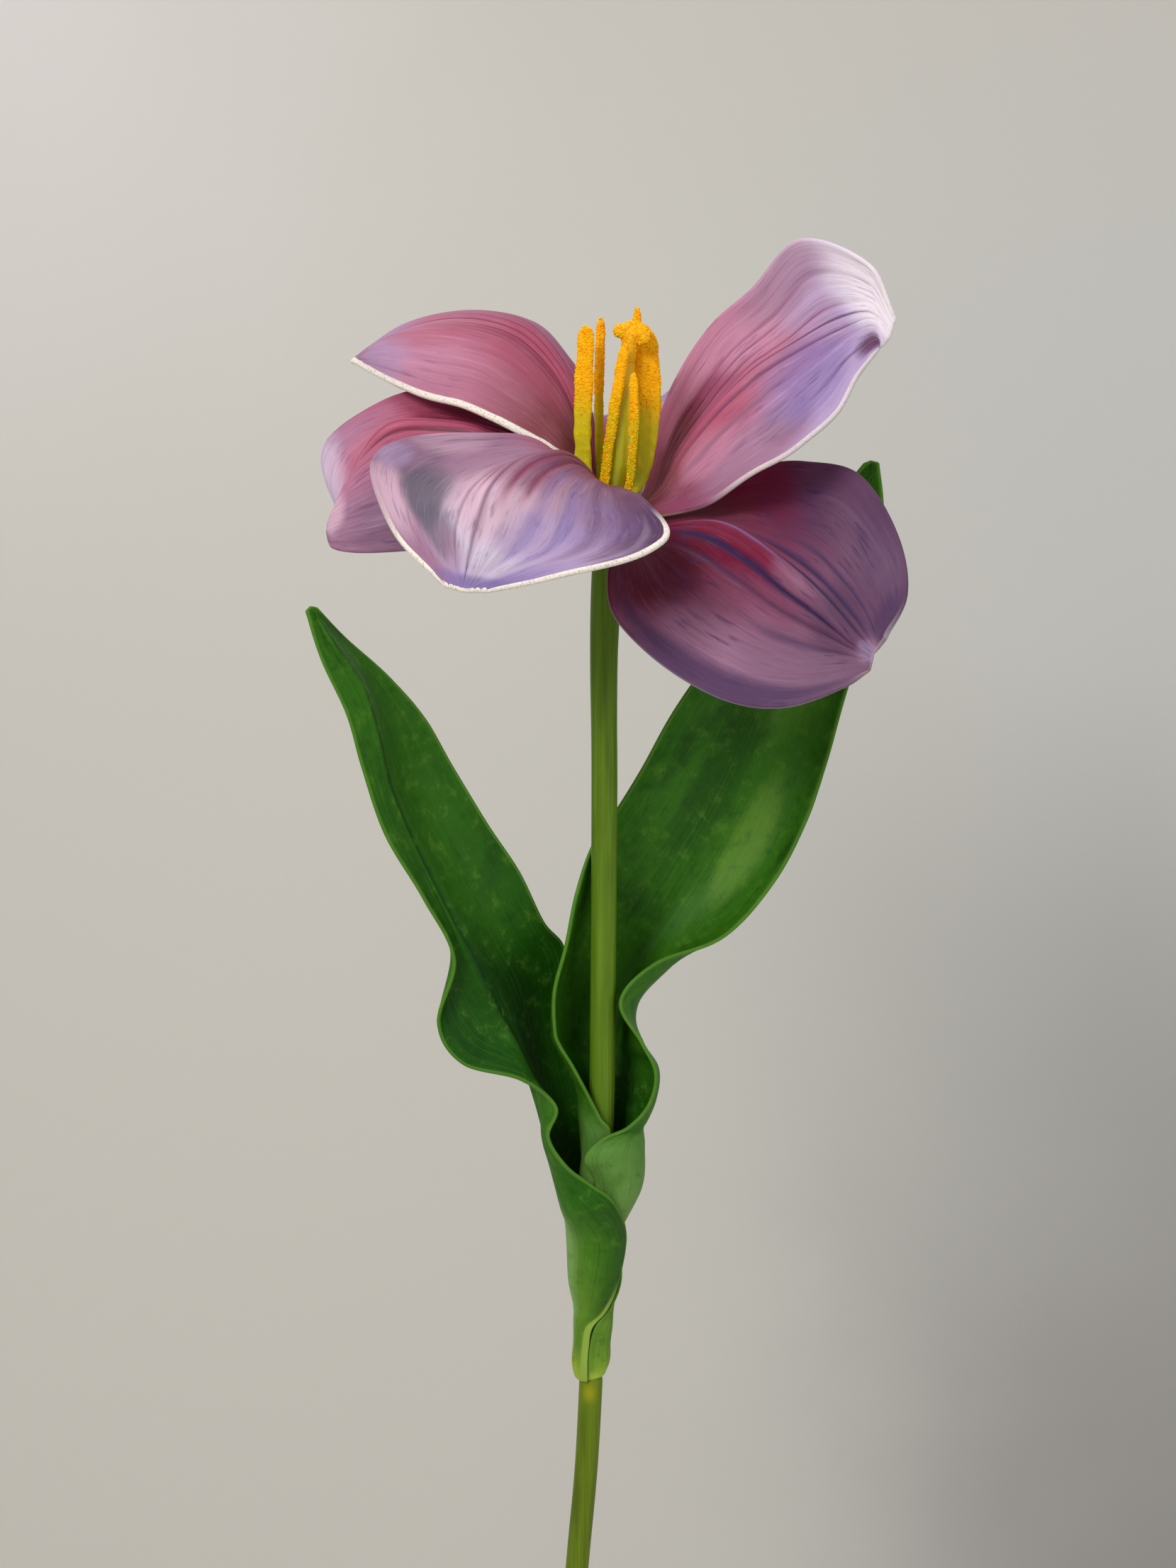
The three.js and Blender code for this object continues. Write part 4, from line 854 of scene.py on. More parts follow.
leaves = {
    "leaf_left": {
        "seed": 23,
        "crease": 0.7,
        "keel": 0.0,
        "flank": 0.85,
        "inside": "leaf leaf leaf leaf leaf fresh",
        "outside": "foot sheath sheath fresh fresh fresh",
        "patches": [
            ["deep", 0.62, 0.6, 0.16, 0.12, 0.6], ["fresh", 0.7, 0.78, 0.2, 0.1, 0.5],
            ["deep", 0.5, 0.44, 0.3, 0.08, 0.5],
        ],
        "sheath": [
            [0.024, -0.3, 0, 0, [253, 180, -111], 0.16],
            [0.065, -0.13, 0, 0, [253, 180, -111], 0.24],
            [0.118, 0, 0, 0, [253, 180, -111], 0.24],
            [0.176, 0.04, 0, 0, [253, 180, -110], 0.24],
            [0.26, -0.01, 0, 0, [254, 180, -108], 0.2],
            [0.4, 0.05, 0, 0, [264, 180, -88]],
            [0.52, 0.15, 0, 0, [312, 180, -34]],
            [0.7, 0.62, 0, 0, [334, 180, 0]],
            [1, 0.92, 0, 0, [345, 180, 48]],
        ],
        "stations": [
            [[0.042, -0.068, 0.347], [-0.047, 0, 0.32], [0.049, 0.063, 0.324], [0.042, 0.04]],
            [[0.003, -0.076, 0.381], [-0.057, 0, 0.364], [0.033, 0.07, 0.376], [0.029, 0.04]],
            [[-0.041, -0.078, 0.416], [-0.066, -0.006, 0.408], [0.017, 0.075, 0.424], [0.016, 0.037]],
            [[-0.072, -0.072, 0.466], [-0.078, -0.016, 0.456], [0.002, 0.08, 0.476], [0.008, 0.032]],
            [[-0.059, -0.072, 0.518], [-0.099, -0.028, 0.539], [-0.023, 0.088, 0.589], [0.004, 0.032]],
            [[-0.119, -0.08, 0.568], [-0.126, -0.028, 0.621], [-0.042, 0.088, 0.679], [0, 0.024]],
            [[-0.218, -0.08, 0.596], [-0.161, -0.04, 0.696], [-0.045, 0.072, 0.763], [0.008, 0.024]],
            [[-0.258, -0.088, 0.668], [-0.193, -0.072, 0.775], [-0.08, 0.04, 0.816], [0.016, 0.024]],
            [[-0.228, -0.104, 0.782], [-0.232, -0.096, 0.853], [-0.12, 0.016, 0.909], [0.008, 0.024]],
            [[-0.275, -0.128, 0.891], [-0.287, -0.104, 0.97], [-0.173, 0, 0.994], [0.004, 0.024]],
            [[-0.337, -0.144, 1.002], [-0.329, -0.12, 1.08], [-0.232, -0.016, 1.098], [0, 0.024]],
            [[-0.374, -0.152, 1.116], [-0.347, -0.136, 1.166], [-0.277, -0.04, 1.184], [0, 0.016]],
            [[-0.397, -0.16, 1.205], [-0.372, -0.152, 1.256], [-0.336, -0.072, 1.259], [0, 0.012]],
            [[-0.435, -0.176, 1.296], [-0.418, -0.168, 1.328], [-0.403, -0.112, 1.327], [0, 0.004]],
            [[-0.461, -0.176, 1.378], [-0.453, -0.168, 1.384], [-0.443, -0.16, 1.38], [0, 0]],
        ],
    },
    "leaf_right": {
        "seed": 29,
        "crease": 0.2,
        "keel": 0.6,
        "flank": 0,
        "inside": "leaf leaf leaf fresh fresh fresh",
        "outside": "sheath flap fresh fresh fresh fresh",
        "patches": [
            ["lime", 0.71, 0.66, 0.12, 0.06, 0.55], ["deep", 0.4, 0.76, 0.1, 0.14, 0.5],
            ["lime", 0.6, 0.85, 0.3, 0.08, 0.35],
        ],
        "sheath": [
            [0.7, 0, 0, 0, [222, 60, -106]],
            [1, 0.1, 0.15, 0.05, [216, 64, -112]],
        ],
        "stations": [
            [[0.003, -0.03, 0.36], [0.062, 0.04, 0.352], [0.006, -0.043, 0.372], [0.054, 0.053]],
            [[0.034, -0.036, 0.455], [0.046, 0.054, 0.408], [-0.012, -0.056, 0.42], [0.056, 0.077]],
            [[0.017, -0.042, 0.49], [0.042, 0.065, 0.46], [0.017, -0.058, 0.456], [0.049, 0.059]],
            [[-0.007, -0.046, 0.537], [0.046, 0.07, 0.496], [0.062, -0.053, 0.476], [0.04, 0.043]],
            [[-0.031, -0.048, 0.583], [0.051, 0.077, 0.528], [0.099, -0.044, 0.515], [0.04, 0.032]],
            [[-0.053, -0.048, 0.62], [0.049, 0.086, 0.56], [0.11, -0.042, 0.57], [0.042, 0.027]],
            [[-0.061, -0.048, 0.645], [0.043, 0.096, 0.587], [0.086, -0.04, 0.624], [0.044, 0.016]],
            [[-0.062, -0.044, 0.712], [0.055, 0.112, 0.666], [0.05, -0.028, 0.693], [0.044, 0.028]],
            [[-0.043, -0.036, 0.791], [0.089, 0.128, 0.739], [0.111, 0, 0.753], [0.044, 0.036]],
            [[-0.026, -0.02, 0.877], [0.138, 0.136, 0.82], [0.228, 0.04, 0.791], [0.04, 0.024]],
            [[0.003, 0.02, 0.955], [0.188, 0.144, 0.901], [0.318, 0.08, 0.879], [0.032, 0.024]],
            [[0.044, 0.064, 1.008], [0.234, 0.152, 0.988], [0.374, 0.104, 0.978], [0.024, 0.024]],
            [[0.087, 0.096, 1.073], [0.274, 0.16, 1.075], [0.407, 0.12, 1.075], [0.024, 0.024]],
            [[0.142, 0.12, 1.168], [0.317, 0.168, 1.18], [0.434, 0.136, 1.172], [0.02, 0.02]],
            [[0.216, 0.144, 1.27], [0.366, 0.184, 1.29], [0.465, 0.152, 1.275], [0.016, 0.016]],
            [[0.314, 0.16, 1.392], [0.417, 0.192, 1.401], [0.492, 0.168, 1.391], [0.012, 0.012]],
            [[0.405, 0.176, 1.513], [0.459, 0.192, 1.518], [0.505, 0.176, 1.507], [0.004, 0.004]],
            [[0.471, 0.184, 1.591], [0.484, 0.192, 1.596], [0.497, 0.184, 1.593], [0, 0]],
        ],
    },
}


def sheathStation(rise, flare, shiftX, shiftY, bearings, lap=0):
    shape = leafShape
    centre = stemAt(stem["lowerLength"] + rise * shape["sheathLength"])[0]
    centre = centre + np.array([shiftX, shiftY, 0]) * shape["sheathFlare"]
    radius = shape["sheathRadius"] + flare * shape["sheathFlare"]
    left, rib, right = (math.radians(angle) for angle in bearings)
    reaches = ((left, radius + lap), (rib, radius), (right, radius - lap))
    points = [centre + reach * towards(angle) for angle, reach in reaches]
    bulges = [radius * (1 - math.cos((angle - rib) / 2)) for angle in (left, right)]
    return (*points, np.array(bulges))


def leafRelief(look):
    shape = leafShape

    def relief(u, v, margin):
        crease = np.exp(-(((u - 0.5) / 0.03) ** 2)) * np.clip((v - 0.36) * 4, 0, 1) * look["crease"]
        veins = np.cos(2 * math.pi * u * shape["veins"]) * np.clip(margin / 2, 0, 1)
        frill = ripple(u, v, look["seed"], 6, 1.2, 7) * np.clip((v - 0.36) * 4, 0, 1)
        return -shape["creaseDepth"] * 2 * crease + shape["veinDepth"] * veins + shape["frillDepth"] * frill

    return relief


leafStops = (0.0, 0.09, 0.26, 0.4, 0.64, 0.96)


def leafMaterial(name, look):
    paint = Paint(name + "Skin")
    u, v, seed = paint.across(), paint.along(), float(look["seed"])
    margin, edge, inner = paint.attribute("margin"), paint.attribute("edge"), paint.attribute("inner")
    height = paint.split(paint.place())[2]
    fromRib = abs(u - 0.5) * 2
    cloud = paint.noise(paint.vector(u * 3.5, v * 11, seed), detail=4, roughness=0.6)
    broad = paint.noise(paint.vector(u * 20, v * 5, seed), detail=3, roughness=0.6)
    veins = paint.noise(paint.vector(u * 120, v * 4, seed), detail=2, roughness=0.6)
    mottle = paint.noise(paint.place(), scale=300, detail=5, roughness=0.7)
    along = v + (cloud - 0.5) * 0.1
    ragged = (cloud - 0.5) * 1.6 + (broad - 0.5) * 0.8
    inside, outside = (paint.blend(along, leafTint, leafStops, look[side]) for side in ("inside", "outside"))
    inside = paint.mix(inside, leafTint["deep"], cloud.rise(0.52, 0.72) * 0.6)
    inside = paint.mix(inside, leafTint["fresh"], cloud.rise(0.46, 0.28) * 0.5)
    inside = paint.addPatches(inside, leafTint, look["patches"], u, v, ragged)
    inside = paint.mix(inside, leafTint["deep"], fromRib.rise(0.1, 0.0) * look["crease"])
    inside = paint.mix(inside, leafTint["shade"], height.rise(0.268, 0.236) * 0.8)
    outside = paint.mix(outside, leafTint["fresh"], cloud.rise(0.5, 0.7) * 0.45)
    outside = paint.mix(outside, leafTint["lime"], cloud.rise(0.46, 0.3) * 0.3)
    keel = fromRib.rise(0.14, 0.03) * look["keel"] * height.rise(0.25, 0.262)
    outside = paint.mix(outside, leafTint["edge"], keel)
    low = height.rise(0.27, 0.255) * look["flank"]
    # painted highlight: a pale band where the light falls on the left flank of the left leaf's sheath
    outside = paint.mix(outside, leafTint["flankHighlight"], fromRib.rise(0.4, 0.1) * height.rise(0.213, 0.222) * low)
    outside = paint.mix(outside, leafTint["leaf"], u.rise(0.3, 0.1) * height.rise(0.222, 0.23) * low * 0.8)
    # the foot's own pale yellow-green, painted lighter on the left where the light falls and fading towards
    # the shaded right
    outside = paint.mix(outside, leafTint["foot"], height.rise(0.2205, 0.2135) * fromRib.rise(1.2, 0.3) * 0.9)
    colour = paint.mix(outside, inside, inner.rise(0.4, 0.6))
    colour = paint.mix(colour, leafTint["deep"], veins.rise(0.5, 0.74) * 0.28)
    colour = paint.mix(colour, leafTint["lime"], veins.rise(0.45, 0.28) * 0.14)
    colour = paint.mix(colour, leafTint["lime"], mottle.rise(0.52, 0.7) * 0.28)
    colour = paint.mix(colour, leafTint["deep"], mottle.rise(0.48, 0.3) * 0.35)
    rim = (margin + (broad - 0.5) * 0.3).rise(0.4, 0.1).most(edge.rise(0.4, 0.8))
    colour = paint.mix(colour, leafTint["edge"], rim * 0.5)
    roll = (margin + (mottle - 0.5) * 0.3).rise(1.3, 0.7) * height.rise(0.236, 0.228) * u.rise(0.3, 0.2)
    colour = paint.mix(colour, leafTint["roll"], roll * 0.85)
    relief = veins * 0.5 + mottle * 0.3 + broad * 0.2
    return paint.finish(colour, 0.42 + mottle * 0.16, relief, 0.2 * mm, matte)


leafFoot = stemAt(stem["lowerLength"])[0]

for name, look in leaves.items():
    stations = [sheathStation(*row) for row in look["sheath"]]
    stations += tableStations(look["stations"], leafFoot, leafShape["length"])
    shape = dict(leafShape, relief=leafRelief(look))
    piece = bladeObject(name + "_blade", stations, shape, leafMaterial(name, look))
    settle(piece, name.replace("leaf_", "") + "_leaf", "leaf", name)
print("leaves made")


stemLook = {
    "sides": 48,
    "step": 2,
    "fineStep": 0.5,
    "boreStep": 8,
    "chamfer": 0.3,
    "endRound": [0.25, 0.35],
    "topRound": 0.15,
    "lowerRadius": 2.55,
    "lowerBore": 1.4,
    "lowerTop": 1.7,
    "bendReach": 4,
    "upperRadius": 2.75,
    "upperBore": 1.5,
    "upperRows": 96,
    "neckRadius": 3.3,
    "neckDrop": 9,
    "neckWidening": [[0.8, 0], [0.89, 0.3], [0.95, 0.7], [1, 1]],
    "collarRadius": 2.55,
    "collarBottom": 1.95,
    "collarLength": 4.5,
    "gap": 0.3,
    "wobble": 0.012,
    "gateHeight": 209,
    "gateLean": 8.9,
    "lowerTones": [(102, 124, 14), (86, 105, 8), (60, 80, 4)],
    "collarTones": [(126, 152, 44), (108, 132, 34), (84, 106, 22)],
    "upperTones": [(98, 134, 30), (84, 112, 16), (52, 76, 6)],
}


def stemMaterial(name, tones, gated=False):
    paint = Paint(name)
    light, middle, dark = tones
    streaks = paint.noise(paint.stretched(1600, 1600, 28), detail=3, roughness=0.6)
    patches = paint.noise(paint.stretched(220, 220, 30))
    pores = paint.noise(paint.place(), scale=2600, detail=2)
    colour = paint.mix(light, middle, (streaks + patches * 0.5).rise(0.5, 0.95))
    colour = paint.mix(colour, dark, patches.rise(0.5, 0.75) * 0.5)
    colour = paint.mix(colour, dark, streaks.rise(0.6, 0.8) * 0.2)
    if gated:  # paler below the sheath, with the yellow mark where the plastic was let in
        x, y, z = paint.split(paint.place())
        near = z - stemLook["gateHeight"] * mm
        colour = paint.mix(colour, light, near.rise(-9 * mm, 2 * mm) * 0.7)
        gate = near.bump(0, 3.4 * mm) * y.rise(-0.6 * mm, -2.4 * mm)
        gate = gate * (x + (patches - 0.5) * 2 * mm).bump(stemLook["gateLean"] * mm, 2.2 * mm)
        colour = paint.mix(colour, (156, 152, 10), gate * 0.7)
    height = streaks * 0.6 + pores * 0.2
    return paint.finish(colour, 0.44 + pores * 0.14, height, 0.12 * mm, {"Specular IOR Level": 0.2})


def stemPieces():
    look, joint = stemLook, stem["lowerLength"]
    bend, top = joint - look["bendReach"], joint + look["lowerTop"]
    radius, bore, chamfer = look["lowerRadius"], look["lowerBore"], look["chamfer"]
    endInset, endRise = look["endRound"]
    lower = [(radius - endInset, 0)] + between(radius, endRise, bend - 1, look["step"])
    lower += between(radius, bend, joint, look["fineStep"])
    lower += [(radius - look["topRound"], top - chamfer), (bore + chamfer, top)]
    lower += between(bore, top, bend, look["fineStep"]) + between(bore, bend - 1, 0, look["boreStep"])
    olive = stemMaterial("LowerStemSkin", look["lowerTones"], True)
    rings = stemRings(lower, look["sides"], look["wobble"], 2)
    tube = tubeObject("lower_stem_tube", rings, olive, closed=True)
    ends = [stemAt(joint + side * look["bendReach"])[0] * mm for side in (-1, 1)]
    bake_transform(tube)
    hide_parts("lower_stem")

    base, crown, radius = joint + look["collarBottom"], joint + look["collarLength"], look["collarRadius"]
    collar = [(radius, base), (radius, crown - chamfer)]
    collar += [(radius - chamfer, crown), (bore, crown), (bore, base)]
    skin = stemMaterial("CollarSkin", look["collarTones"])
    ring = tubeObject("stem_collar_ring", stemRings(collar, look["sides"]), skin, closed=True)
    settle(ring, "stem_top", "collar", "stem_collar")

    bottom = crown + look["gap"]
    neck = stemLength - look["neckDrop"]
    heights = np.linspace(bottom, neck, look["upperRows"])
    shares = (heights - bottom) / (neck - bottom)
    widening = np.interp(shares, *np.array(look["neckWidening"]).T)
    radii = look["upperRadius"] + widening * (look["neckRadius"] - look["upperRadius"])
    upper = list(zip(radii, heights)) + between(look["upperBore"], neck, bottom, look["boreStep"])
    green = stemMaterial("UpperStemSkin", look["upperTones"])
    rings = stemRings(upper, look["sides"], look["wobble"], 4)
    tube = tubeObject("upper_stem_tube", rings, green, closed=True)
    settle(tube, "stem_top", "upper_stem", "upper_stem")


stemPieces()
print("stem made")


centre = {
    "neckTop": stemLength - stemLook["neckDrop"],
    "receptacleHeight": 10.2,
    "receptacleRadius": 4,
    "receptacleFoot": 3.3,
    "receptacleShares": [[0.14, 0.86], [0.28, 0.95], [0.42, 1], [0.86, 1], [0.95, 0.97], [1, 0.9]],
    "pinBore": 1.5,
    "pinDepth": 4.8,
    "chamfer": 0.3,
    "discRadius": 3.5,
    "discThickness": 1.4,
    "gap": 0.3,
    "ringRadius": 2.75,
    "stamenHeight": 38,
    "filamentRadius": 0.6,
    "pistilHeight": 38,
    "ovaryRadius": 3.1,
}
receptacleBase = centre["neckTop"] + centre["gap"]
receptacleCrown = receptacleBase + centre["receptacleHeight"]
discBase = receptacleCrown + centre["gap"]
centreBase = discBase + centre["discThickness"] + centre["gap"]

flock = {"grain": 0.17, "smallest": 0.55, "largest": 1.35, "density": 7.5, "seed": 4}


def grainMaterial():
    paint = Paint("PollenFlock")
    spots = paint.noise(paint.place(), scale=900, detail=2)
    patches = paint.noise(paint.place(), scale=160, detail=2)
    colour = paint.ramp(spots, [(0.3, (226, 136, 0)), (0.5, (248, 176, 0)), (0.7, (255, 208, 0))])
    colour = paint.mix(colour, (255, 206, 4), patches.rise(0.5, 0.7) * 0.5)
    return paint.finish(colour, 0.85, None, 0, {"Specular IOR Level": 0.08})


def antherMaterial():
    paint = Paint("AntherSkin")
    rise = paint.attribute("rise")
    spots = paint.noise(paint.place(), scale=700, detail=3)
    wide = paint.noise(paint.place(), scale=120, detail=2)
    stops = [(0, (132, 136, 4)), (0.4, (170, 160, 4)), (0.68, (200, 178, 6)), (0.8, (246, 176, 0))]
    colour = paint.ramp(rise + (wide - 0.5) * 0.3, stops)
    colour = paint.mix(colour, (236, 196, 10), spots.rise(0.5, 0.7) * 0.35)
    return paint.finish(colour, 0.5 + spots * 0.2, spots, 0.3 * mm, {"Specular IOR Level": 0.2})


def socketNamed(tree, name):
    return next(i.identifier for i in tree.interface.items_tree if i.name == name and i.in_out == "INPUT")


def flockTree():
    tree = bpy.data.node_groups.new("Flock", "GeometryNodeTree")
    tree.interface.new_socket("Geometry", in_out="INPUT", socket_type="NodeSocketGeometry")
    for name, value in (("Grains per Square Metre", 1e6), ("Grain Radius", 1e-4)):
        tree.interface.new_socket(name, in_out="INPUT", socket_type="NodeSocketFloat").default_value = value
    tree.interface.new_socket("Seed", in_out="INPUT", socket_type="NodeSocketInt")
    tree.interface.new_socket("Grain Material", in_out="INPUT", socket_type="NodeSocketMaterial")
    tree.interface.new_socket("Geometry", in_out="OUTPUT", socket_type="NodeSocketGeometry")

    def node(kind, settings=None, **inputs):
        made = tree.nodes.new(kind)
        for key, value in (settings or {}).items():
            setattr(made, key, value)
        for key, value in inputs.items():
            socket = made.inputs[key.replace("_", " ")]
            if isinstance(value, bpy.types.NodeSocket):
                tree.links.new(value, socket)
            else:
                socket.default_value = value
        return made

    given = node("NodeGroupInput").outputs
    cover = node("GeometryNodeInputNamedAttribute", {"data_type": "FLOAT"}, Name="flock").outputs[0]
    amount = node("ShaderNodeMath", {"operation": "MULTIPLY"}).inputs
    tree.links.new(given["Grains per Square Metre"], amount[0])
    tree.links.new(cover, amount[1])
    spread = node(
        "GeometryNodeDistributePointsOnFaces", {"distribute_method": "RANDOM"},
        Mesh=given["Geometry"], Density=amount[0].node.outputs[0], Seed=given["Seed"],
    )
    ball = node("GeometryNodeMeshIcoSphere", None, Subdivisions=1, Radius=given["Grain Radius"])
    size = node("FunctionNodeRandomValue", {"data_type": "FLOAT"}, Seed=given["Seed"])
    size.inputs[2].default_value, size.inputs[3].default_value = flock["smallest"], flock["largest"]
    turn = node("FunctionNodeRandomValue", {"data_type": "FLOAT_VECTOR"}, Seed=given["Seed"])
    turn.inputs[1].default_value = (6.28, 6.28, 6.28)
    grains = node(
        "GeometryNodeInstanceOnPoints", None,
        Points=spread.outputs["Points"], Instance=ball.outputs["Mesh"],
        Rotation=turn.outputs[0], Scale=size.outputs[1],
    )
    real = node("GeometryNodeRealizeInstances", None, Geometry=grains.outputs[0])
    painted = node(
        "GeometryNodeSetMaterial", None, Geometry=real.outputs[0], Material=given["Grain Material"]
    )
    joined = node("GeometryNodeJoinGeometry")
    tree.links.new(given["Geometry"], joined.inputs[0])
    tree.links.new(painted.outputs[0], joined.inputs[0])
    end = node("NodeGroupOutput")
    tree.links.new(joined.outputs[0], end.inputs[0])
    return tree


flockGroup = flockTree()
pollen = grainMaterial()


def flocked(piece, seed):
    modifier = piece.modifiers.new("Flock", "NODES")
    modifier.node_group = flockGroup
    modifier[socketNamed(flockGroup, "Grains per Square Metre")] = flock["density"] / mm**2
    modifier[socketNamed(flockGroup, "Grain Radius")] = flock["grain"] * mm
    modifier[socketNamed(flockGroup, "Seed")] = flock["seed"] + seed
    modifier[socketNamed(flockGroup, "Grain Material")] = pollen
    mesh = applyModifiers(piece)
    mesh.polygons.foreach_set("use_smooth", [True] * len(mesh.polygons))
    return piece


stamens = [
    {"bearing": 215, "facing": 0, "half": 1.85, "bare": 0.67,
     "route": [[-0.08, -0.01, 0.12], [-0.1, -0.035, 0.45], [-0.08, -0.04, 0.955]]},
    {"bearing": 135, "facing": 15, "half": 1, "bare": 0.66,
     "route": [[-0.01, 0.03, 0.12], [-0.02, 0.06, 0.5], [-0.01, 0.06, 1]]},
    {"bearing": 245, "facing": -8, "half": 1.1, "bare": 0.12,
     "route": [[-0.01, -0.03, 0.12], [0.04, -0.06, 0.5], [0.1, -0.05, 0.86]]},
    {"bearing": 315, "facing": 5, "half": 0.9, "bare": 0.12,
     "route": [[0.045, -0.04, 0.12], [0.065, -0.07, 0.4], [0.065, -0.07, 0.705]]},
    {"bearing": 20, "facing": 10, "half": 2.6, "bare": 0.66,
     "route": [[0.075, 0.055, 0.12], [0.13, 0.07, 0.45], [0.12, 0.07, 0.93]]},
    {"bearing": 75, "facing": 0, "half": 1, "bare": 0.1,
     "route": [[0.03, 0.05, 0.12], [0.1, 0.09, 0.5], [0.12, 0.1, 1.05]]},
]
antherShape = {
    "rows": 72,
    "sides": 20,
    "gather": 1.25,
    "roundShare": 0.035,
    "lumps": 0.1,
    "grooveDepth": 0.3,
    "grooveWidth": 0.35,
    "flockFade": 0.15,
}
lumpTurn = 6.28
stamenSections = [  # share of the length, half width and half depth there
    [0, 0.45, 0.8], [0.3, 0.8, 1], [0.5, 0.9, 1.1], [0.75, 1, 1.1], [0.93, 0.92, 1], [1, 0.72, 0.8],
]


def stamen(number, look, skin):
    shape = antherShape
    rows, sides = shape["rows"], shape["sides"]
    bearing, facing = math.radians(look["bearing"]), math.radians(look["facing"])
    foot = headCentre * [1, 1, 0] + centre["ringRadius"] * towards(bearing) + np.array([0, 0, centreBase])
    route = np.array([foot] + [foot + np.array(p) * centre["stamenHeight"] for p in look["route"]])
    places = 1 - (1 - np.linspace(0, 1, rows)) ** shape["gather"]
    line = curveWeights(len(route), places) @ route
    table = np.array(stamenSections)
    wide = np.interp(places, table[:, 0], table[:, 1]) * look["half"]
    deep = np.interp(places, table[:, 0], table[:, 2]) * centre["filamentRadius"]
    fromTip = np.clip((1 - places) / shape["roundShare"], 0, 1)
    shrink = np.sqrt(np.clip(1 - (1 - fromTip) ** 2, 0.03, 1))
    angles = np.arange(sides) * 2 * math.pi / sides
    across, away = towards(facing), towards(facing + math.pi / 2)
    waves = ripple(angles[None] / lumpTurn, places[:, None] * 3, 40 + number, 7, 2, 4)
    lumps = 1 + shape["lumps"] * waves
    groove = 1 - shape["grooveDepth"] * np.exp(-((np.cos(angles) / shape["grooveWidth"]) ** 2))
    reachX = (wide * shrink)[:, None] * np.cos(angles)[None] * lumps
    reachY = (deep * shrink)[:, None] * (np.sin(angles) * groove)[None] * lumps
    rings = line[:, None] + reachX[..., None] * across + reachY[..., None] * away
    rise = np.repeat(places, sides)
    cover = np.clip((rise - look["bare"]) / shape["flockFade"], 0, 1)
    name = "stamen_%d" % number
    shares = {"rise": rise, "flock": cover}
    piece = tubeObject(name + "_anther", rings, skin, attributes=shares, extra=[pollen])
    settle(flocked(piece, number), "head", "flock", name)


def pistilMaterial():
    paint = Paint("PistilSkin")
    rise = paint.attribute("rise")
    streaks = paint.noise(paint.stretched(900, 900, 60))
    stops = [(0, (146, 146, 4)), (0.3, (174, 168, 6)), (0.55, (202, 190, 14)), (0.75, (226, 176, 6))]
    colour = paint.ramp(rise + (streaks - 0.5) * 0.15, stops + [(1, (242, 176, 0))])
    # painted highlight: pale glossy streaks on the body below the stigma
    colour = paint.mix(colour, (188, 192, 70), streaks.rise(0.55, 0.75) * 0.4 * rise.rise(0.75, 0.55))
    rough = 0.3 + rise.rise(0.55, 0.8) * 0.5
    return paint.finish(colour, rough, streaks, 0.2 * mm, {"Specular IOR Level": 0.5})


pistilShares = [
    [0, 0, 0.4], [0.06, 0.005, 0.6], [0.2, 0.04, 0.95], [0.45, 0.065, 1], [0.6, 0.075, 0.8],
    [0.73, 0.085, 0.45], [0.83, 0.095, 0.5], [0.9, 0.1, 0.6], [0.95, 0.105, 0.45],
]
pistilShape = {
    "rows": 90,
    "sides": 36,
    "fluting": 0.07,
    "flutedTop": 0.7,
    "lobeLumps": 0.12,
    "voxel": 0.16,
    "softening": 6,
    "flockStart": 0.72,
    "flockFade": 0.08,
}
stigmaLobes = [  # where each lobe stands from the top of the neck, and its half sizes
    ([2.0, -0.7, -1.6], [1.9, 1.5, 2.2]),
    ([-2.1, -0.5, -0.9], [1.6, 1.3, 1.5]),
    ([-0.4, 1.7, -0.6], [1.4, 1.5, 1.7]),
]


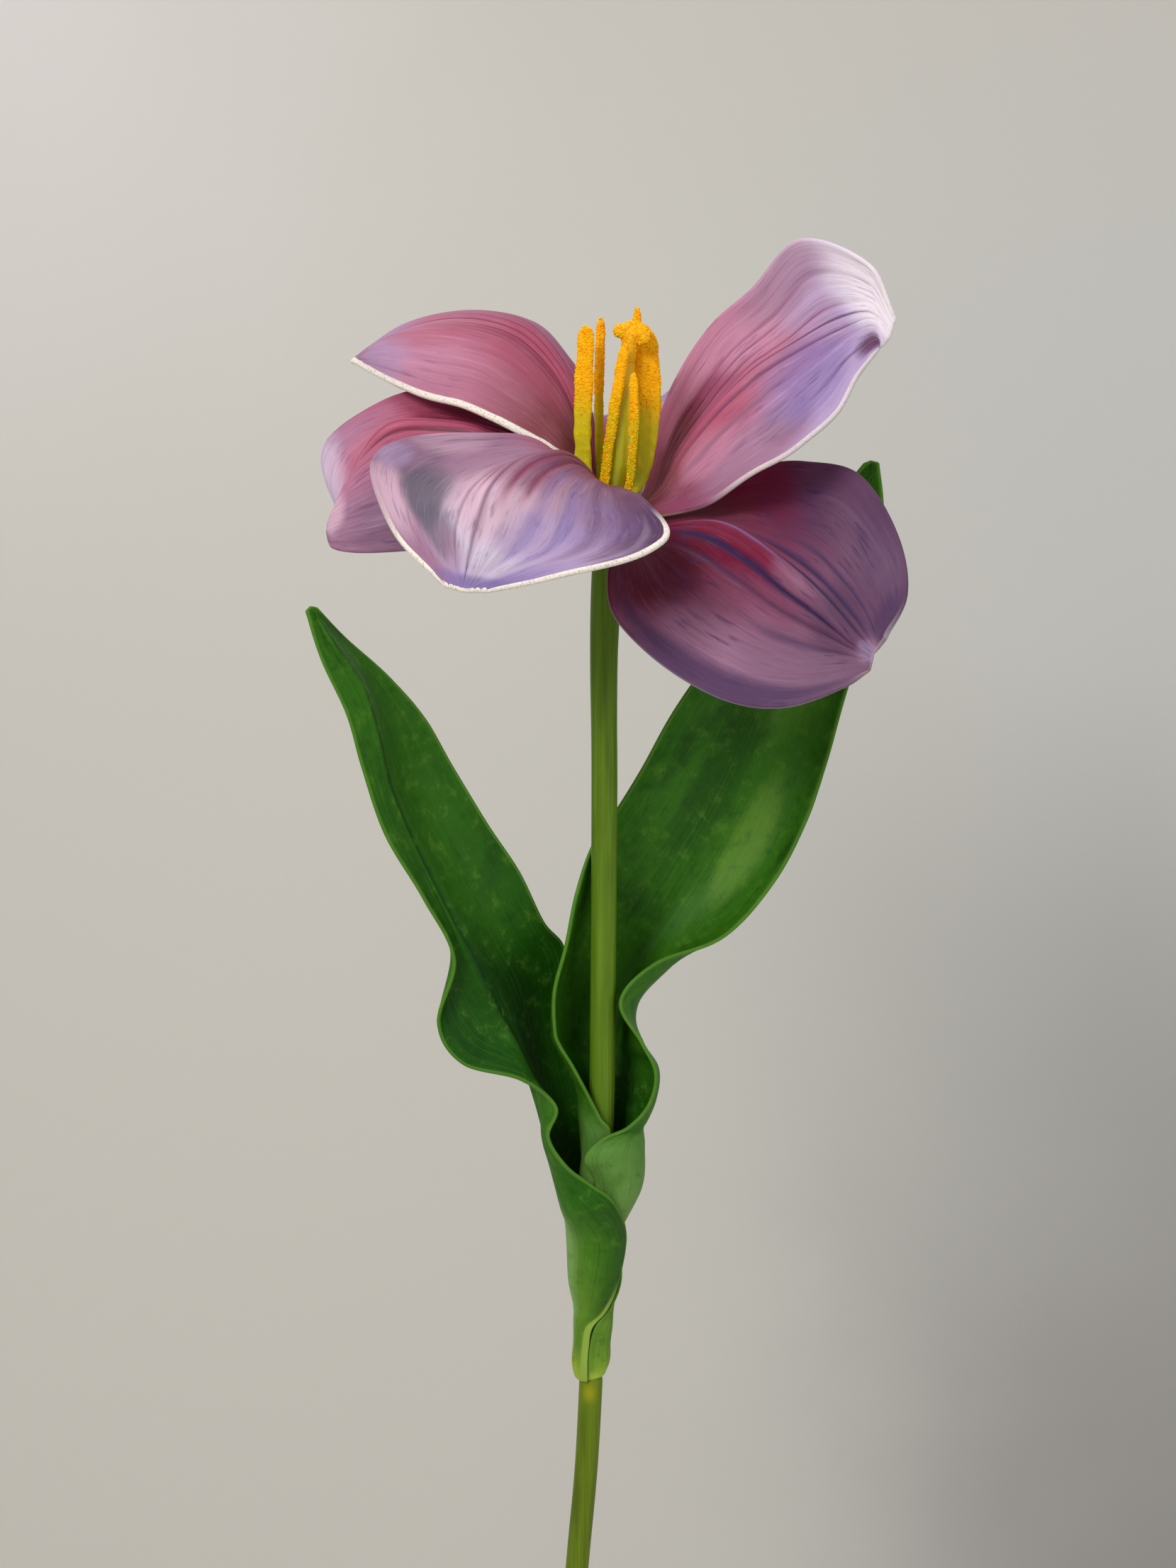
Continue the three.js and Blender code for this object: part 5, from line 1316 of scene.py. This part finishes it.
def pistil():
    shape, sides = pistilShape, pistilShape["sides"]
    table = np.array(pistilShares)
    places = np.linspace(0, table[-1, 0], shape["rows"])
    angles = np.arange(sides) * 2 * math.pi / sides
    lean = np.interp(places, table[:, 0], table[:, 1]) * centre["pistilHeight"]
    weights = curveWeights(len(table), np.interp(places, table[:, 0], np.linspace(0, 1, len(table))))
    radii = weights @ table[:, 2] * centre["ovaryRadius"]
    flute = 1 + shape["fluting"] * np.cos(3 * angles)[None] * (places[:, None] < shape["flutedTop"])
    middle = np.stack([headCentre[0] + lean, 0 * lean, centreBase + places * centre["pistilHeight"]], 1)
    spread = np.stack([np.cos(angles), np.sin(angles), 0 * angles], 1)
    rings = middle[:, None] + (radii[:, None] * flute)[..., None] * spread[None]
    parts = [tubeObject("pistilBody", rings, pollen)]
    for k, (shift, halves) in enumerate(stigmaLobes):
        turn, tilt = np.meshgrid(np.arange(24) * 2 * math.pi / 24, np.linspace(0, math.pi, 14)[1:-1])
        ball = np.stack([np.cos(turn) * np.sin(tilt), np.sin(turn) * np.sin(tilt), np.cos(tilt)], 2)
        lumps = 1 + shape["lobeLumps"] * ripple(turn / lumpTurn, tilt / 3, 60 + k, 5, 3, 2)
        ball = ball * lumps[..., None]
        where = middle[-1] + np.array(shift)
        parts.append(tubeObject("stigmaLobe", where + ball * np.array(halves), pollen))
    points = np.vstack([np.array([v.co[:] for v in part.data.vertices]) for part in parts])
    faces, offset = [], 0
    for part in parts:
        faces += [[offset + index for index in face.vertices] for face in part.data.polygons]
        offset += len(part.data.vertices)
        bpy.data.objects.remove(part)
    skins = [pistilMaterial(), pollen]
    whole = makeObject("pistil_body", points / mm, faces, skins)
    remesh = whole.modifiers.new("Merge", "REMESH")
    remesh.mode, remesh.voxel_size = "VOXEL", shape["voxel"] * mm
    smooth = whole.modifiers.new("Soften", "SMOOTH")
    smooth.factor, smooth.iterations = 0.5, shape["softening"]
    mesh = applyModifiers(whole)
    heights = np.array([v.co.z for v in mesh.vertices])
    rise = (heights - centreBase * mm) / (centre["pistilHeight"] * mm)
    cover = np.clip((rise - shape["flockStart"]) / shape["flockFade"], 0, 1)
    setAttributes(mesh, {"rise": rise, "flock": cover})
    mesh.materials.clear()
    for skin in skins:
        mesh.materials.append(skin)
    settle(flocked(whole, 30), "head", "pistil", "pistil")


def coreMaterial():
    paint = Paint("CoreSkin")
    spots = paint.noise(paint.place(), scale=500, detail=3)
    rings = paint.noise(paint.stretched(300, 300, 1800))
    colour = paint.mix((112, 136, 64), (150, 160, 92), spots.rise(0.4, 0.7))
    colour = paint.mix(colour, (84, 108, 44), rings.rise(0.5, 0.7) * 0.5)
    return paint.finish(colour, 0.5 + spots * 0.12, spots + rings, 0.15 * mm)


def discMaterial():
    paint = Paint("DiscSkin")
    spots = paint.noise(paint.place(), scale=600, detail=3)
    colour = paint.mix((132, 138, 30), (170, 168, 60), spots.rise(0.4, 0.7))
    return paint.finish(colour, 0.35 + spots * 0.15, spots, 0.1 * mm)


def headPieces():
    look, chamfer, sides = centre, centre["chamfer"], stemLook["sides"]
    height, radius, bore = look["receptacleHeight"], look["receptacleRadius"], look["pinBore"]
    seat = receptacleBase + look["pinDepth"]
    profile = [(bore, receptacleBase), (look["receptacleFoot"], receptacleBase)]
    profile += [(width * radius, receptacleBase + rise * height) for rise, width in look["receptacleShares"]]
    profile += [(0.02, receptacleCrown), (0.02, seat), (bore, seat)]
    cup = tubeObject("receptacle_cup", stemRings(profile, sides), coreMaterial(), closed=True)
    settle(cup, "head", "core", "receptacle")
    top, radius = discBase + look["discThickness"], look["discRadius"]
    disc = [(radius - chamfer, discBase), (radius, discBase + chamfer)]
    disc += [(radius, top - chamfer), (radius - chamfer, top)]
    plate = tubeObject("stamen_disc_plate", stemRings(disc, sides), discMaterial())
    settle(plate, "head", "pistil", "stamen_disc")


def wireMaterial():
    paint = Paint("DrawnWire")
    lines = paint.noise(paint.stretched(6000, 6000, 90), detail=3)
    colour = paint.mix((150, 150, 146), (104, 98, 90), lines.rise(0.45, 0.75))
    return paint.finish(colour, 0.3 + lines * 0.2, lines, 0.05 * mm, {"Metallic": 1.0})


headPieces()
anther = antherMaterial()
for number, look in enumerate(stamens, 1):
    stamen(number, look, anther)
pistil()
steel, peg = wireMaterial(), coreMaterial()
for node, material in (("core_wire", steel), ("core_wire_upper", steel), ("head_pin", peg)):
    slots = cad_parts[node].data.materials
    slots.clear()
    slots.append(material)
print("flower centre made")


room = {
    "wall": (202, 199, 192),
    # the wall's painted light and shade: a lighter patch, shade to the right, shade at the top and deeper
    # shade in the lower right corner
    "wallLitPatch": (211, 206, 204),
    "wallRightShade": (193, 192, 188),
    "wallTopShade": (190, 185, 177),
    "wallCornerShade": (154, 151, 149),
    "floor": (192, 188, 182),
    "wallDepth": 0.34,
    "reach": 1.6,
    "height": 1.3,
    "ambient": 0.42,
}


def oneSided(paint, shader):  # seen from behind, the sheet isn't there
    behind = paint.node("ShaderNodeNewGeometry", output="Backfacing")
    clear = paint.node("ShaderNodeBsdfTransparent")
    both = paint.node("ShaderNodeMixShader", None, {0: behind, 1: shader, 2: clear})
    output = paint.tree.nodes.new("ShaderNodeOutputMaterial")
    paint.tree.links.new(both.socket, output.inputs["Surface"])
    return paint.material


def roomSheet(name, corners, colourOf):
    paint = Paint(name + "Paint")
    shader = paint.node("ShaderNodeBsdfPrincipled", None, {"Base Color": colourOf(paint), "Roughness": 0.9})
    mesh = bpy.data.meshes.new(name)
    mesh.from_pydata(corners, [], [(0, 1, 2, 3)])
    mesh.materials.append(oneSided(paint, shader))
    sheet = bpy.data.objects.new(name, mesh)
    bpy.context.scene.collection.objects.link(sheet)
    sheet.visible_shadow = False
    return sheet


def wallColour(paint):
    # The wall is painted with light and shade: a pool of painted light at the upper left, painted shade
    # towards the right and at the top, and deeper painted shade in the lower right corner.
    x, y, z = paint.split(paint.place())
    cloud = paint.noise(paint.place(), scale=7, detail=3)
    x = x + (cloud - 0.5) * 0.16
    colour = paint.mix(room["wall"], room["wallRightShade"], x.rise(-0.08, 0.2))
    colour = paint.mix(colour, room["wallTopShade"], z.rise(0.42, 0.62) * 0.8)
    colour = paint.mix(colour, room["wallLitPatch"], x.rise(-0.02, -0.2) * z.rise(0.3, 0.56))
    return paint.mix(colour, room["wallCornerShade"], x.rise(0.02, 0.26) * z.rise(0.3, -0.02))


def floorColour(paint):
    cloud = paint.noise(paint.place(), scale=12, detail=3)
    return paint.mix(room["floor"], room["wall"], cloud)


reach, depth, height = room["reach"], room["wallDepth"], room["height"]
floorCorners = [(-reach, -reach, 0), (reach, -reach, 0), (reach, reach, 0), (-reach, reach, 0)]
wallCorners = [(-reach, depth, 0), (reach, depth, 0), (reach, depth, height), (-reach, depth, height)]
roomSheet("floor", floorCorners, floorColour)
roomSheet("wall", wallCorners, wallColour)

world = bpy.data.worlds.new("Room")
bpy.context.scene.world = world
world.use_nodes = True
background = world.node_tree.nodes["Background"]
lightPath = world.node_tree.nodes.new("ShaderNodeLightPath")
shown = world.node_tree.nodes.new("ShaderNodeMix")
shown.data_type = "RGBA"
shown.inputs[6].default_value = (room["ambient"],) * 3 + (1.0,)
shown.inputs[7].default_value = asColour(room["wall"])
world.node_tree.links.new(lightPath.outputs["Is Camera Ray"], shown.inputs[0])
world.node_tree.links.new(shown.outputs[2], background.inputs["Color"])

lamps = {
    "key": {"place": (-0.42, -0.8, 0.92), "size": 0.36, "power": 7.2, "colour": (1, 0.985, 0.96)},
    "fill": {"place": (0.8, -0.6, 0.5), "size": 0.8, "power": 2.2, "colour": (0.96, 0.98, 1)},
    "top": {"place": (-0.1, 0.1, 1.25), "size": 0.7, "power": 3.6, "colour": (1, 1, 1)},
    "rear": {"place": (0.3, 1.0, 0.7), "size": 0.9, "power": 4.8, "colour": (1, 1, 1)},
}
for name, lamp in lamps.items():
    data = bpy.data.lights.new(name, "AREA")
    data.energy, data.size, data.color = lamp["power"], lamp["size"], lamp["colour"]
    light = bpy.data.objects.new(name, data)
    light.location = lamp["place"]
    aim = Vector((0.01, 0, 0.3)) - Vector(lamp["place"])
    light.rotation_euler = aim.to_track_quat("-Z", "Y").to_euler()
    bpy.context.scene.collection.objects.link(light)

view = {"aim": (8.55, 0, 344), "distance": 600, "pitch": 10, "focal": 4000, "tall": 2212}
cameraData = bpy.data.cameras.new("camera")
cameraData.sensor_width = 36
cameraData.lens = view["focal"] / view["tall"] * cameraData.sensor_width
camera = bpy.data.objects.new("camera", cameraData)
pitch = math.radians(view["pitch"])
aim = Vector(view["aim"]) * mm
camera.location = aim + Vector((0, -math.cos(pitch), math.sin(pitch))) * view["distance"] * mm
camera.rotation_euler = (math.pi / 2 - pitch, 0, 0)
cameraData.clip_start, cameraData.clip_end = 0.01, 20
bpy.context.scene.collection.objects.link(camera)
bpy.context.scene.camera = camera
bpy.context.scene.view_settings.view_transform = "Standard"
print("room, lamps and camera set")
